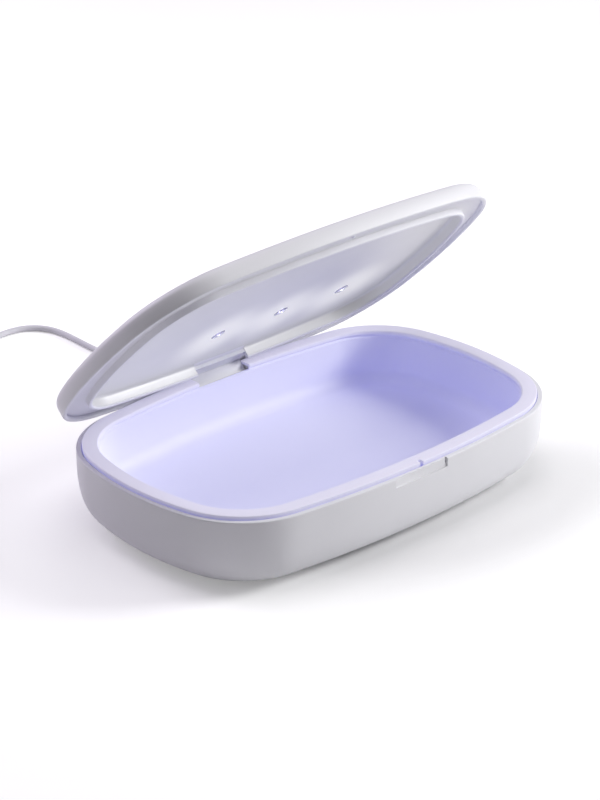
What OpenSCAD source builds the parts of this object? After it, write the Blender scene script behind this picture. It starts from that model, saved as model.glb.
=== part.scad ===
// Ultraviolet sanitizer box for phones, shown with its lid open.
// X runs along the box, the catch side faces -Y, the hinge is at the rear on +Y.
// The origin is on the surface that the box stands on, under the middle of its base.

/* [Body] */
// Length of the box
body_l = 228; // [216:1:250]
// Width of the box
body_w = 146; // [136:1:165]
// Height of the ledge that the lid closes on
base_h = 37.5; // [36:0.5:44]
// Corner radius seen from above
corner_r = 45; // [42:1:50]
// Bow of the long sides
side_bow = 4.5; // [3.5:0.5:6]
// Bow of the short ends
end_bow = 2.7; // [2:0.1:4]
// Wall thickness of the lower shell
wall = 2.5; // [2:0.1:3]
// How far the bottom edge is drawn in
bottom_in = 26; // [22:1:30]
// Fullness of the side wall, higher is squarer
fullness = 3.3; // [2.6:0.1:4]

/* [Tray] */
// Gap between the tray's flange and the shell's wall
tray_gap = 0.3; // [0.2:0.05:0.5]
// Height of the bezel over the ledge
bezel_rise = 1.8; // [1.2:0.1:2.2]
// Width of the bezel's top
bezel_w = 8; // [7:0.5:9]
// Thickness of the bezel
bezel_t = 2.4; // [2:0.1:3]
// Depth of the tray under the bezel's top
tray_depth = 26; // [20:1:27]
// Thickness of the tray's wall and floor
tray_wall = 1.6; // [1.2:0.1:2]
// Radius at the foot of the tray's wall
tray_foot_r = 7; // [5:1:10]

/* [Lid] */
// Angle by which the lid stands open at rest
lid_open = 45.8; // [30:0.1:55]
// Height of the lid over its lower edge
lid_h = 11.1; // [10.5:0.1:14]
// Gap between the ledge and the closed lid
lid_gap = 0.4; // [0.3:0.1:0.8]
// Wall thickness of the lid's shell
lid_wall = 2.2; // [1.8:0.1:2.6]
// Clearance between the bezel and the liner over it
liner_clear = 0.6; // [0.5:0.1:1]
// Thickness of the liner's flange
liner_t = 1.6; // [1.4:0.1:1.8]
// Gap between the liner and the lid's wall
liner_gap = 0.15; // [0.1:0.05:0.3]
// Gap between the tray's mouth and the lip
lip_gap = 2.1; // [2:0.1:2.6]
// Thickness of the lip
lip_t = 1.8; // [1.5:0.1:2.2]
// Drop of the lip under the liner's flange
lip_drop = 3.3; // [2.5:0.1:3.6]
// Thickness of the mirror plate
mirror_t = 1; // [0.8:0.1:1.2]
// Depth of the mirror plate over the lip's edge
mirror_depth = 6; // [5.6:0.1:6.2]

/* [Lamps] */
// Distance between neighbouring lamps
lamp_pitch = 40; // [34:1:42]
// Number of lamps
lamps = 3; // [2:1:3]
// Place of the row's middle along the box
lamp_x = 19; // [10:1:20]
// Distance of the row from the lid's long axis, towards the hinge
lamp_y = 23; // [16:1:26]
// Radius of a lamp's window
window_r = 3.8; // [3:0.1:4.5]
// Side of a lamp
lamp_side = 3.6; // [3:0.1:4]

/* [Hinge] */
// Distance of the hinge axis from the rear face
hinge_in = 5; // [4.8:0.1:5.4]
// Drop of the hinge axis under the ledge
hinge_drop = 3.5; // [3.3:0.1:3.8]
// Radius of the knuckles
knuckle_r = 3.6; // [3.2:0.05:3.7]
// Half the width of the hinge over its knuckles
hinge_half = 42; // [36:1:42]
// Half the width of the lid's middle knuckle
block_half = 15.8; // [12:0.1:17]
// Gap between two knuckles
knuckle_gap = 0.4; // [0.3:0.1:0.6]
// Radius of the hinge shaft
shaft_r = 1.5; // [1.2:0.1:1.7]
// Running clearance of the shaft
shaft_fit = 0.05; // [0.02:0.01:0.08]
// Wall of the friction bushes
bush_wall = 0.8; // [0.6:0.1:0.9]
// Length of a friction bush
bush_l = 7; // [4:0.5:9]

/* [Front] */
// Width of the finger recess
recess_w = 33; // [26:1:40]
// Place of the recess's middle along the box
recess_x = -1.3; // [-4:0.1:4]
// Height of the finger recess
recess_h = 4.4; // [3:0.1:5.5]
// Depth of the finger recess
recess_d = 0.9; // [0.6:0.1:1.1]
// Width of the slot that the lid's guide rib enters
rib_slot_w = 2; // [1.8:0.1:3]
// Place of the slot along the box
rib_x = 1; // [-6:0.5:8]
// Depth of the slot into the bezel
rib_slot_d = 2.4; // [2:0.1:3]
// Clearance of the guide rib in its slot
rib_fit = 0.4; // [0.3:0.05:0.5]
// Radius of the closing magnets
magnet_r = 3; // [2.5:0.1:3.2]
// Distance of a closing magnet from the middle
magnet_x = 26; // [22:1:40]

/* [Button] */
// Radius of the start button
button_r = 7; // [6:0.5:9]
// Travel of the start button
button_travel = 0.8; // [0.5:0.1:0.9]
// Gap round the start button
button_gap = 0.3; // [0.25:0.05:0.5]
// Width of the light ring
ring_w = 1.2; // [1:0.1:2]
// Distance of the button from the lid's long axis, towards the front
button_y = 34; // [26:1:40]

/* [Feet] */
// Height of the feet under the shell
foot_h = 1; // [0.8:0.1:1.2]
// Radius of a foot
foot_r = 6; // [5.5:0.5:7]
// How deep a foot is let into the shell
foot_sink = 0.7; // [0.5:0.1:0.8]
// Distance of the feet from the middle along the box
foot_x = 68; // [60:1:76]
// Distance of the feet from the middle across the box
foot_y = 30; // [26:1:34]

/* [Lead] */
// Place of the power socket along the box
socket_x = 26; // [20:1:40]
// Diameter of the lead
lead_d = 3.2; // [3:0.1:3.3]
// Turns of the coil in each of its two layers
coil_turns = 3.5; // [2.5:0.5:3.5]
// Outer radius of the coil, to the middle of the lead
coil_r = 24; // [24:0.5:30]
// Gap between neighbouring turns
coil_gap = 0.55; // [0.5:0.05:0.7]

/* [Hidden] */
$fn = 48;

// segments of a quarter of the outline: side, corner, end
side_seg = 2;
corner_seg = 8;
end_seg = 2;
// steps of a curved wall
wall_steps = 7;
// overlap of cutting shapes, and the play between pieces that only touch
eps = 0.01;
touch = 0.05;

half_l = body_l / 2;
half_w = body_w / 2;
// arcs of the outline: the long sides, the short ends and where the corners' centres lie
side_r = (pow(half_l - corner_r, 2) + side_bow * side_bow) / (2 * side_bow);
end_r = (pow(half_w - corner_r, 2) + end_bow * end_bow) / (2 * end_bow);
side_c = [0, half_w - side_r];
end_c = [half_l - end_r, 0];
arc_gap = norm(end_c - side_c);
arc_dir = (end_c - side_c) / arc_gap;
arc_along = (pow(side_r - corner_r, 2) - pow(end_r - corner_r, 2) + arc_gap * arc_gap) / (2 * arc_gap);
arc_across = sqrt(pow(side_r - corner_r, 2) - arc_along * arc_along);
corner_c = side_c + arc_along * arc_dir + arc_across * [arc_dir.y, -arc_dir.x];
side_end_a = atan2(corner_c.y - side_c.y, corner_c.x - side_c.x);
corner_end_a = atan2(corner_c.y - end_c.y, corner_c.x - end_c.x);

function on_arc(c, r, a) = [c.x + r * cos(a), c.y + r * sin(a)];

// a quarter of the outline drawn in by "off", from the short end to the long side
function quarter(off) = [
    for (i = [0:end_seg - 1]) on_arc(end_c, end_r - off, corner_end_a * i / end_seg),
    for (i = [0:corner_seg - 1])
        on_arc(corner_c, corner_r - off, corner_end_a + (side_end_a - corner_end_a) * i / corner_seg),
    for (i = [0:side_seg]) on_arc(side_c, side_r - off, side_end_a + (90 - side_end_a) * i / side_seg)
];
function flipped(pts, sx, sy) = [for (i = [len(pts) - 1:-1:0]) [sx * pts[i].x, sy * pts[i].y]];
function turned(pts) = [for (p = pts) [-p.x, -p.y]];
function outline(off) =
    let (q = quarter(off), n = len(q), h = concat(q, [for (i = [1:n - 1]) flipped(q, -1, 1)[i]]))
    concat([for (i = [0:len(h) - 2]) h[i]], [for (i = [0:len(h) - 2]) turned(h)[i]]);

// a solid through rings of the outline, each given as [height, drawn in by]
module loft(levels) {
    n = len(outline(0));
    pts = [for (l = levels) for (p = outline(l[1])) [p.x, p.y, l[0]]];
    sides = [
        for (j = [0:len(levels) - 2])
            for (i = [0:n - 1])
                let (a = j * n + i, b = j * n + (i + 1) % n)
                each [[a, a + n, b + n], [a, b + n, b]]
    ];
    first = [for (i = [0:n - 1]) i];
    last = [for (i = [n - 1:-1:0]) (len(levels) - 1) * n + i];
    polyhedron(points = pts, faces = concat([first], sides, [last]));
}

// a plate with the outline
module plate(off, z, t) {
    translate([0, 0, z]) linear_extrude(height = t) polygon(outline(off));
}

// heights
shell_z = foot_h;
floor_z = shell_z + wall;
bezel_z = base_h + bezel_rise;
lid_z = base_h + lid_gap;
lid_top_z = lid_z + lid_h;
flange_z = bezel_z + liner_clear;
lip_z = flange_z - lip_drop;
mirror_z = lip_z + mirror_depth;
tray_floor_z = bezel_z - tray_depth;
tray_under_z = tray_floor_z - tray_wall;

// how far pieces are drawn in from the outline
bezel_in = wall + tray_gap;
mouth_in = bezel_in + bezel_w;
lip_in = mouth_in + lip_gap;
pan_in = lip_in + lip_t;
mirror_in = lip_in + lip_t / 2;

// hinge axis
hinge_y = half_w - hinge_in;
hinge_z = base_h - hinge_drop;

// profile of the side wall: drawn in at a fraction of the height
function wall_in(u, inset) = inset * (1 - pow(cos(90 * u), 2 / fullness));
function wall_down(u, depth) = depth * pow(sin(90 * u), 2 / fullness);

module colour_shell() { color("#E4E4E8") children(); }
module colour_tray() { color("#D6D2F8") children(); }

// turns what is drawn closed to where it stands at rest
module lid_place() {
    translate([0, hinge_y, hinge_z]) rotate([-lid_open, 0, 0]) translate([0, -hinge_y, -hinge_z]) children();
}

module along_hinge(half, r) {
    translate([-half, hinge_y, hinge_z]) rotate([0, 90, 0]) cylinder(r = r, h = 2 * half);
}

module at_feet() {
    for (x = [-foot_x, foot_x]) for (y = [-foot_y, foot_y]) translate([x, y, 0]) children();
}

// Base

// screw that holds the tray, with the bosses that it runs through
screw_r = 1.2;
screw_fit = 0.05;
screw_head_r = 2.3;
screw_head_h = 1.1;
screw_sink = 0.2;
screw_grip = 4.5;
boss_r = 4;
boss_h = 1.8;
head_z = shell_z + foot_sink + touch;
seat_z = head_z + screw_head_h + screw_sink;
boss_z = floor_z + boss_h;
screw_play = 0.2;
// how far a boss or post grows out of its wall
root = 0.3;
post_r = 2.8;
post_floor = 0.3;

// main board, on four posts of the shell's floor
board_t = 1.6;
board_w = 92;
board_d = 66;
// the board ends at the rear where the socket and the ribbon need it, and grows to the front
board_rear_in = 17;
board_rear_y = half_w - board_rear_in;
board_y = board_rear_y - board_d / 2;
board_z = 5.7;
board_hole_in = 4;
board_screw_r = 0.9;
board_head_r = 1.8;
board_head_share = 0.27;
tongue_w = 13;
tongue_l = 4.5;

// power socket and the opening for its plug
port_w = 12.6;
port_h = 7.4;
socket_w = 8.9;
socket_h = 3.2;
socket_t = 0.3;
port_z = board_z + board_t + socket_h / 2;
socket_l = 10;
socket_y = half_w - 17.1;

// rounded bar along Y, "w" wide and "h" high, centred on X and Z
module bar(w, h, l) {
    rotate([-90, 0, 0]) linear_extrude(height = l) union() {
        for (s = [-1, 1]) translate([s * (w - h) / 2, 0]) circle(d = h);
        square([w - h, h], center = true);
    }
}

// what the lid's rear edge and the knuckles sweep
cove_gap = 0.3;
rebate_drop = 1.8;
rebate_y = 0.8;

// nick that a tool takes to part the tray from the shell
nick_w = 1.2;
nick_h = 2.6;
nick_d = 1.8;

module hinge_rebate(reach) {
    translate([-half_l, hinge_y + rebate_y, hinge_z - rebate_drop])
        cube([body_l, hinge_in + reach, base_h]);
}

module shell_bowl() {
    depth = base_h - shell_z;
    inner_depth = base_h - floor_z;
    inner_in = bottom_in - wall / 3;
    loft(concat(
        [for (i = [wall_steps:-1:0])
            [base_h - wall_down(i / wall_steps, depth), wall_in(i / wall_steps, bottom_in)]],
        [for (i = [0:wall_steps])
            [base_h - wall_down(i / wall_steps, inner_depth), wall + wall_in(i / wall_steps, inner_in - wall)]]
    ));
}

module lower_shell() {
    colour_shell() difference() {
        union() {
            shell_bowl();
            at_feet() translate([0, 0, floor_z - root]) cylinder(r = boss_r, h = boss_h + root);
            at_board_holes() translate([0, 0, floor_z - root])
                cylinder(r = post_r, h = board_z - floor_z + root);
        }
        hinge_rebate(wall);
        along_hinge(hinge_half + cove_gap, knuckle_r + cove_gap);
        translate([socket_x, hinge_y - wall * 4, port_z]) bar(port_w, port_h, wall * 8);
        translate([recess_x - recess_w / 2, -half_w - eps, base_h - recess_h])
            cube([recess_w, recess_d + eps, recess_h + eps]);
        // nick at the recess's end
        translate([recess_x + recess_w / 2 - nick_w, -half_w - eps, base_h - nick_h])
            cube([nick_w, nick_d, nick_h + eps]);
        at_feet() {
            translate([0, 0, shell_z - eps]) cylinder(r = foot_r + touch, h = foot_sink + touch + eps);
            translate([0, 0, shell_z]) cylinder(r = screw_head_r + touch, h = seat_z - shell_z);
            cylinder(r = screw_r + screw_play, h = base_h / 2);
        }
        at_board_holes() translate([0, 0, floor_z + post_floor])
            cylinder(r = board_screw_r + screw_fit, h = base_h);
    }
}

module rubber_feet() {
    color("#6E6E74") at_feet() {
        cylinder(r1 = foot_r - 0.4, r2 = foot_r, h = 0.4);
        translate([0, 0, 0.4]) cylinder(r = foot_r, h = shell_z + foot_sink - 0.4);
    }
}

module base_screws() {
    color("#9A9CA0") at_feet() {
        translate([0, 0, seat_z - screw_head_h]) difference() {
            cylinder(r = screw_head_r, h = screw_head_h);
            translate([0, 0, -eps]) cylinder(r = 0.9, h = 0.6);
        }
        translate([0, 0, seat_z - eps]) cylinder(r = screw_r, h = boss_z + screw_grip - seat_z + eps);
    }
}

// tray: the wall leans in a little and meets the floor in a round
tray_lean = 1.4;
notch_drop = 2.7;
pocket_half = hinge_half + 2;
pocket_y = half_w - mouth_in - 0.5;

module tray_tub() {
    wall_h = bezel_z - tray_floor_z - tray_foot_r;
    round_in = 1;
    loft(concat(
        [for (i = [4:-1:0])
            [tray_under_z + (tray_foot_r + tray_wall) * (1 - cos(22.5 * (4 - i))),
             mouth_in - tray_wall + tray_lean + (tray_foot_r + tray_wall) * (1 - sin(22.5 * (4 - i)))]],
        [[bezel_z - bezel_t, mouth_in - tray_wall],
         [bezel_z - bezel_t, bezel_in],
         [bezel_z - 0.3, bezel_in],
         [bezel_z, bezel_in + 0.3],
         [bezel_z, mouth_in - 2.2],
         [bezel_z - 0.3, mouth_in - round_in],
         [bezel_z - 1.2, mouth_in - 0.2],
         [bezel_z - 2.4, mouth_in]],
        [for (i = [0:4])
            [tray_floor_z + tray_foot_r * (1 - sin(22.5 * i)),
             mouth_in + tray_lean + tray_foot_r * (1 - cos(22.5 * i))]]
    ));
}

module tray() {
    post_h = tray_under_z - boss_z;
    colour_tray() difference() {
        union() {
            tray_tub();
            // ground that carries the knuckles under the bezel
            translate([-pocket_half, pocket_y, hinge_z - knuckle_r])
                cube([2 * pocket_half, hinge_y - knuckle_r - cove_gap - pocket_y, knuckle_r * 2 - 0.5]);
            for (s = [-1, 1]) {
                knuckle_l = hinge_half - block_half - knuckle_gap;
                mid = s * (hinge_half + block_half + knuckle_gap) / 2;
                translate([mid - knuckle_l / 2, hinge_y, hinge_z]) rotate([0, 90, 0])
                    cylinder(r = knuckle_r, h = knuckle_l);
                translate([mid - knuckle_l / 2, hinge_y - knuckle_r - 1, hinge_z - knuckle_r + 0.4])
                    cube([knuckle_l, knuckle_r + 1.5, knuckle_r + bezel_rise]);
            }
            at_feet() translate([0, 0, boss_z]) cylinder(r = boss_r, h = post_h + tray_wall / 2);
        }
        // the rear of the bezel is cut back for the lid
        hinge_rebate_tray();
        // the middle of the hinge, where the lid's knuckle turns
        translate([-block_half - knuckle_gap, hinge_y - knuckle_r - cove_gap, hinge_z])
            cube([2 * (block_half + knuckle_gap), hinge_in + knuckle_r, base_h]);
        along_hinge(block_half + knuckle_gap, knuckle_r + cove_gap);
        translate([-block_half - knuckle_gap, half_w - mouth_in - 4, bezel_z - notch_drop])
            cube([2 * (block_half + knuckle_gap), bezel_w + 8, notch_drop + 1]);
        along_hinge(hinge_half + 1, shaft_r + shaft_fit);
        // slot for the lid's guide rib
        translate([rib_x - rib_slot_w / 2, -half_w + bezel_in - eps, base_h - 2])
            cube([rib_slot_w, rib_slot_d + eps, bezel_rise + 4]);
        // seats of the magnets and holes of the screws
        for (x = [-magnet_x, magnet_x]) translate([x, magnet_y, bezel_z - bezel_t - eps])
            cylinder(r = magnet_r + touch, h = magnet_sink + eps);
        at_feet() translate([0, 0, boss_z - eps]) cylinder(r = screw_r + screw_fit, h = screw_grip + 0.3);
    }
}

module hinge_rebate_tray() {
    difference() {
        hinge_rebate(0);
        along_hinge(hinge_half, knuckle_r);
    }
}

// closing magnets sit under the bezel and over the liner
magnet_h = 2;
magnet_sink = 1;
magnet_y = -half_w + bezel_in + bezel_w / 2;

module base_magnets() {
    color("#8C8E92") for (x = [-magnet_x, magnet_x])
        translate([x, magnet_y, bezel_z - bezel_t + magnet_sink - magnet_h])
            cylinder(r = magnet_r, h = magnet_h);
}

// small board under the bezel that senses the lid's magnet
// It lies between the magnet and the middle, clear of the shell's wall, where the wall bows out most.
sensor_l = 10;
sensor_w = 4.8;
sensor_t = 1;
sensor_chip = 3;
sensor_chip_t = 0.8;
sensor_gap = 1;
sensor_wall_gap = 1.5;

module lid_sensor() {
    x = magnet_x - magnet_r - sensor_gap - sensor_l;
    y = wall + sensor_wall_gap - half_w;
    top = bezel_z - bezel_t;
    color("#2F6B4A") translate([x, y, top - sensor_t]) cube([sensor_l, sensor_w, sensor_t]);
    color("#26262A") translate([x + sensor_gap, y + sensor_chip / 2, top - sensor_t - sensor_chip_t])
        cube([sensor_chip, sensor_chip, sensor_chip_t]);
}

module at_board_holes() {
    for (x = [-1, 1]) for (y = [-1, 1])
        translate([x * (board_w / 2 - board_hole_in), board_y + y * (board_d / 2 - board_hole_in), 0])
            children();
}

module main_board() {
    color("#2F6B4A") difference() {
        union() {
            translate([-board_w / 2, board_y - board_d / 2, board_z]) cube([board_w, board_d, board_t]);
            translate([socket_x - tongue_w / 2, board_y, board_z])
                cube([tongue_w, board_d / 2 + tongue_l, board_t]);
        }
        at_board_holes() translate([0, 0, board_z - 1])
            cylinder(r = board_screw_r + screw_play / 2, h = board_t + 2);
    }
}

// parts on the board: a share of the room under the tray is each one's height
part_room = tray_under_z - board_z - board_t;
chip_sizes = [
    // x, distance from the board's rear edge, width, depth, share
    [-12, 48, 12, 12, 0.36],
    [12, 26, 7, 7, 0.55],
    [-34, 30, 8, 5, 0.27],
    [24, 56, 10, 6, 0.68]
];
capacitor_pts = [[-30, 60], [-20, 60]];
capacitor_r = 3.2;
capacitor_share = 0.77;

module board_parts() {
    color("#303034") translate([0, board_rear_y, board_z + board_t]) {
        for (c = chip_sizes) translate([c[0], -c[1], 0]) cube([c[2], c[3], part_room * c[4]]);
        for (p = capacitor_pts) translate([p.x, -p.y, 0])
            cylinder(r = capacitor_r, h = part_room * capacitor_share);
    }
}

module board_screws() {
    color("#9A9CA0") at_board_holes() {
        translate([0, 0, board_z + board_t]) cylinder(r = board_head_r, h = part_room * board_head_share);
        translate([0, 0, floor_z + 2 * post_floor])
            cylinder(r = board_screw_r, h = board_z + board_t - floor_z - 2 * post_floor + eps);
    }
}

module power_socket() {
    color("#B4B6BA") difference() {
        translate([socket_x, socket_y, port_z]) bar(socket_w, socket_h, socket_l);
        translate([socket_x, socket_y + 1, port_z])
            bar(socket_w - 2 * socket_t, socket_h - 2 * socket_t, socket_l);
    }
}

// flat ribbon from the board up behind the tray
ribbon_w = 8;
ribbon_t = 0.4;
ribbon_gap = 0.4;

module base_ribbon() {
    z = board_z + board_t;
    y = board_y + board_d / 2;
    top_y = half_w - mouth_in + tray_wall + ribbon_gap;
    bend_z = tray_under_z + tray_foot_r + 2;
    top_z = hinge_z - knuckle_r - 1;
    color("#C9B27A") translate([-ribbon_w / 2, 0, 0]) rotate([90, 0, 90])
        linear_extrude(height = ribbon_w) polygon([
        [y - 8, z], [y + 5, z], [top_y + ribbon_t, bend_z], [top_y + ribbon_t, top_z],
        [top_y, top_z], [top_y, bend_z], [y + 5 - ribbon_t, z + ribbon_t], [y - 8, z + ribbon_t]
    ]);
}

module hinge_shaft() {
    color("#A9ABAF") along_hinge(hinge_half - 0.5, shaft_r);
}

// Lid, drawn closed and then turned about the hinge

band_h = lid_h * 0.45;
function lid_levels(h, cut) = [
    [lid_z, cut], [lid_z + band_h - cut * 0.2, cut],
    for (s = [[0.27, 0.35], [0.48, 1.1], [0.67, 2.6], [0.82, 5.6], [0.91, 11], [0.965, 20], [1, 38]])
        [lid_z + band_h + (h - band_h) * s[0], cut * (1 - s[1] / 38) + s[1]]
];

module lid_shell_solid() {
    outer = lid_levels(lid_h, 0);
    inner = lid_levels(lid_h - lid_wall, lid_wall);
    loft(concat([for (i = [len(inner) - 1:-1:0]) inner[i]], outer));
}

module lid_shell() {
    colour_shell() lid_place() difference() {
        lid_shell_solid();
        translate([0, -button_y, lid_z + 4]) cylinder(r = button_r + button_gap + ring_w + touch, h = lid_h);
        // room for the middle knuckle's arm at the rear
        translate([-block_half - 0.2, hinge_y - knuckle_r, lid_z - 1])
            cube([2 * block_half + 0.4, hinge_in - lid_wall + knuckle_r, 1 + flange_z - lid_z]);
    }
}

// notch in the lip for the hinge's middle knuckle
module lid_liner() {
    ring_h = mirror_z + mirror_t - lip_z;
    colour_shell() lid_place() difference() {
        union() {
            plate(lid_wall + liner_gap, flange_z, liner_t);
            plate(lip_in, lip_z, ring_h);
        }
        plate(pan_in, lip_z - 1, mirror_depth + 1);
        plate(mirror_in, mirror_z, ring_h);
        translate([-block_half - 0.3, half_w - pan_in - 2, lip_z - 1])
            cube([2 * block_half + 0.6, pan_in, 1 + flange_z - lip_z]);
        at_block_screws() translate([0, 0, flange_z - 1]) cylinder(r = screw_r + screw_fit, h = liner_t + 2);
        for (x = [-magnet_x, magnet_x]) translate([x, magnet_y, flange_z + liner_t - 0.8])
            cylinder(r = magnet_r + touch, h = 1);
    }
    // rib that guides the lid onto the bezel
    rib_w = rib_slot_w - 2 * rib_fit;
    colour_shell() lid_place() translate([rib_x - rib_w / 2, -half_w + bezel_in - 0.25, base_h + 0.2])
        cube([rib_w, rib_slot_d - rib_fit, flange_z - base_h - 0.2 + eps]);
}

lamp_pts = [for (i = [0:lamps - 1]) [lamp_x + (i - (lamps - 1) / 2) * lamp_pitch, lamp_y]];

module mirror_plate() {
    color("#C9CACF") lid_place() difference() {
        plate(mirror_in + touch, mirror_z, mirror_t);
        for (p = lamp_pts) translate([p.x, p.y, mirror_z - 1]) cylinder(r = window_r + touch, h = mirror_t + 2);
    }
}

module led_windows() {
    color("#F2F2FF") lid_place() for (p = lamp_pts)
        translate([p.x, p.y, mirror_z - 0.2]) cylinder(r = window_r, h = 0.8);
}

lamp_h = 0.7;
led_board_z = mirror_z + mirror_t + 0.5;
led_board_t = 0.8;

module uv_leds() {
    color("#C7B6FF") lid_place() for (p = lamp_pts)
        translate([p.x - lamp_side / 2, p.y - lamp_side / 2, led_board_z - lamp_h])
            cube([lamp_side, lamp_side, lamp_h]);
}

led_board_w = 12;
board_reach = lamp_pitch + 8;

module led_board() {
    color("#F0F0F0") lid_place() translate([lamp_x - board_reach, lamp_y - led_board_w / 2, led_board_z])
        cube([2 * board_reach, led_board_w, led_board_t]);
}

// strip of the spreader, a little smaller than the board
spreader_in = 1;
spreader_t = 1;

module heat_spreader() {
    top = lid_z + lid_h - lid_wall - 0.1;
    under = led_board_z + led_board_t;
    color("#B9BBC0") lid_place()
        translate([lamp_x - board_reach + 2 * spreader_in, lamp_y - led_board_w / 2 + spreader_in, under])
            cube([2 * (board_reach - 2 * spreader_in), led_board_w - 2 * spreader_in,
                  min(top - under, spreader_t)]);
}

// middle knuckle with the arm that carries the lid
arm_in = knuckle_r;
arm_out = 2.2;
module at_block_screws() {
    for (x = [-9, 9]) translate([x, hinge_y - 1, 0]) children();
}

module hinge_block() {
    colour_shell() lid_place() difference() {
        union() {
            along_hinge(block_half, knuckle_r);
            translate([-block_half, hinge_y - arm_in, hinge_z])
                cube([2 * block_half, arm_in + arm_out, flange_z - hinge_z]);
        }
        along_hinge(block_half + 1, shaft_r + 0.3);
        for (s = [-1, 1])
            translate([s * (block_half - bush_l / 2) - bush_l / 2 - (s < 0 ? 1 : 0), hinge_y, hinge_z])
                rotate([0, 90, 0]) cylinder(r = shaft_r + shaft_fit + bush_wall + touch, h = bush_l + 1);
        at_block_screws() translate([0, 0, flange_z - 3.2]) cylinder(r = screw_r + screw_fit, h = 4);
    }
}

module hinge_bushes() {
    color("#8E8E94") lid_place() for (s = [-1, 1])
        translate([s * (block_half - bush_l / 2) - bush_l / 2 + 0.1, hinge_y, hinge_z]) rotate([0, 90, 0])
            difference() {
                cylinder(r = shaft_r + shaft_fit + bush_wall, h = bush_l - 0.2);
                translate([0, 0, -eps]) cylinder(r = shaft_r + shaft_fit, h = bush_l);
            }
}

module block_screws() {
    color("#9A9CA0") lid_place() at_block_screws() {
        translate([0, 0, flange_z - 2.8]) cylinder(r = screw_r, h = liner_t + 2.8);
        translate([0, 0, flange_z + liner_t]) cylinder(r = screw_head_r - 0.3, h = screw_head_h);
    }
}

module lid_magnets() {
    color("#8C8E92") lid_place() for (x = [-magnet_x, magnet_x])
        translate([x, magnet_y, flange_z + liner_t - 0.8 + touch]) cylinder(r = magnet_r, h = magnet_h);
}

module lid_ribbon() {
    z = led_board_z + led_board_t;
    color("#C9B27A") lid_place() translate([lamp_x - board_reach + 6, lamp_y + 5.2, z])
        cube([ribbon_w, hinge_y - 12 - lamp_y, ribbon_t]);
}

// Start button on the lid's top

button_top = 0.4;
button_z = lid_top_z - 2.4;

module button_switch() {
    stem_z = mirror_z + mirror_t + 1;
    color("#3A3A40") lid_place() {
        translate([-4, -button_y - 4, mirror_z + mirror_t + touch]) cube([8, 8, 1]);
        translate([0, -button_y, stem_z]) cylinder(r = 1.6, h = button_z - button_travel - 0.3 - stem_z);
    }
}

module light_ring() {
    color("#F4F4FF") lid_place() translate([0, -button_y, button_z]) difference() {
        cylinder(r = button_r + button_gap + ring_w, h = lid_top_z - 0.3 - button_z);
        translate([0, 0, -eps]) cylinder(r = button_r + button_gap, h = lid_h);
    }
}

module start_button() {
    color("#EDEDF0") lid_place() translate([0, -button_y, button_z])
        cylinder(r = button_r, h = lid_top_z + button_top - button_z);
}

// Lead, its plugs and its coil

plug_w = 10.8;
plug_h = 6;
plug_tip_l = 6.6;
plug_tip_gap = 0.15;
plug_l = 22.3;
plug_y = half_w - 6.7;
nose_l = 8;
nose_r = 2.2;
cord_y = plug_y + plug_l + nose_l;
rest_z = lead_d / 2;

module box_plug() {
    color("#8F8E98") {
        translate([socket_x, plug_y, port_z]) bar(plug_w, plug_h, plug_l);
        translate([socket_x, plug_y + plug_l, port_z]) rotate([-90, 0, 0]) cylinder(r = nose_r, h = nose_l);
    }
}

module box_plug_tip() {
    tip_l = plug_tip_l;
    tip_bar_w = socket_w - 2 * socket_t - 2 * plug_tip_gap;
    tip_bar_h = socket_h - 2 * socket_t - 2 * plug_tip_gap;
    color("#C4C6CA") translate([socket_x, plug_y - tip_l, port_z]) bar(tip_bar_w, tip_bar_h, tip_l);
}

// middle of the lead from the plug to its coil, lying on the surface from the sixth point on
CORD = [
    [26, 96.6, 8.9], [26, 104, 8.9], [26, 112, 8.2], [26, 120, 6.4], [26, 128, 4.2], [26, 136, 2.4],
    [26, 144, 1.6], [26, 152, 1.6], [26, 160, 1.6], [26, 168, 1.6], [26, 176, 1.6], [26, 184, 1.6],
    [26, 192, 1.6], [26.2, 200, 1.6], [26.5, 208, 1.6], [26.8, 216, 1.6], [26.6, 223, 1.6], [25.2, 230, 1.6],
    [21.4, 236.5, 1.6], [15.6, 240.6, 1.6], [9, 242.3, 1.6], [2, 242.5, 1.6], [-6, 242.3, 1.6], [-14, 242, 1.6],
    [-22, 242, 1.6], [-30, 242, 1.6], [-38, 242, 1.6], [-46, 242, 1.6], [-54, 242, 1.6], [-62, 242, 1.6],
    [-70, 242, 1.6]
];
cord_end = CORD[len(CORD) - 1];
coil_c = [cord_end.x - lead_d, cord_end.y - coil_r];
coil_pitch = lead_d + coil_gap;
loop_rings = 24;
tail_rings = loop_rings / 4;
tail_out = 6;
half_turns = coil_turns * loop_rings;

// a point of the coil after "i" rings: in along the lower layer, up in half a turn, out along the upper one
function coil_rise(i) = max(0, min(1, (i - half_turns + loop_rings / 4) / (loop_rings / 2)));
function coil_at(i) =
    let (a = 90 + 360 * i / loop_rings,
         r = coil_r - coil_pitch * (half_turns - abs(half_turns - i)) / loop_rings)
    [coil_c.x + r * cos(a), coil_c.y + r * sin(a), rest_z + coil_pitch * coil_rise(i)];
// the last quarter turn leaves the coil and comes down beside it
function coil_tail(k) =
    let (u = k / tail_rings, a = 90 + 90 * u, r = coil_r + tail_out * sin(90 * u))
    [coil_c.x + r * cos(a), coil_c.y + r * sin(a), rest_z + coil_pitch * (1 - pow(u, 1.5))];
tail_end = coil_tail(tail_rings);
coil_end = [tail_end.x, tail_end.y - lead_d, rest_z];
COIL = concat(
    [cord_end],
    [for (i = [0:2 * half_turns]) coil_at(i)],
    [for (k = [1:tail_rings]) coil_tail(k)],
    [coil_end]
);
coil_least_gap = min([
    for (i = [0:len(COIL) - 7]) for (j = [i + 6:len(COIL) - 1]) norm(COIL[i] - COIL[j])
]) - lead_d;
echo(coil_least_gap = coil_least_gap);

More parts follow.
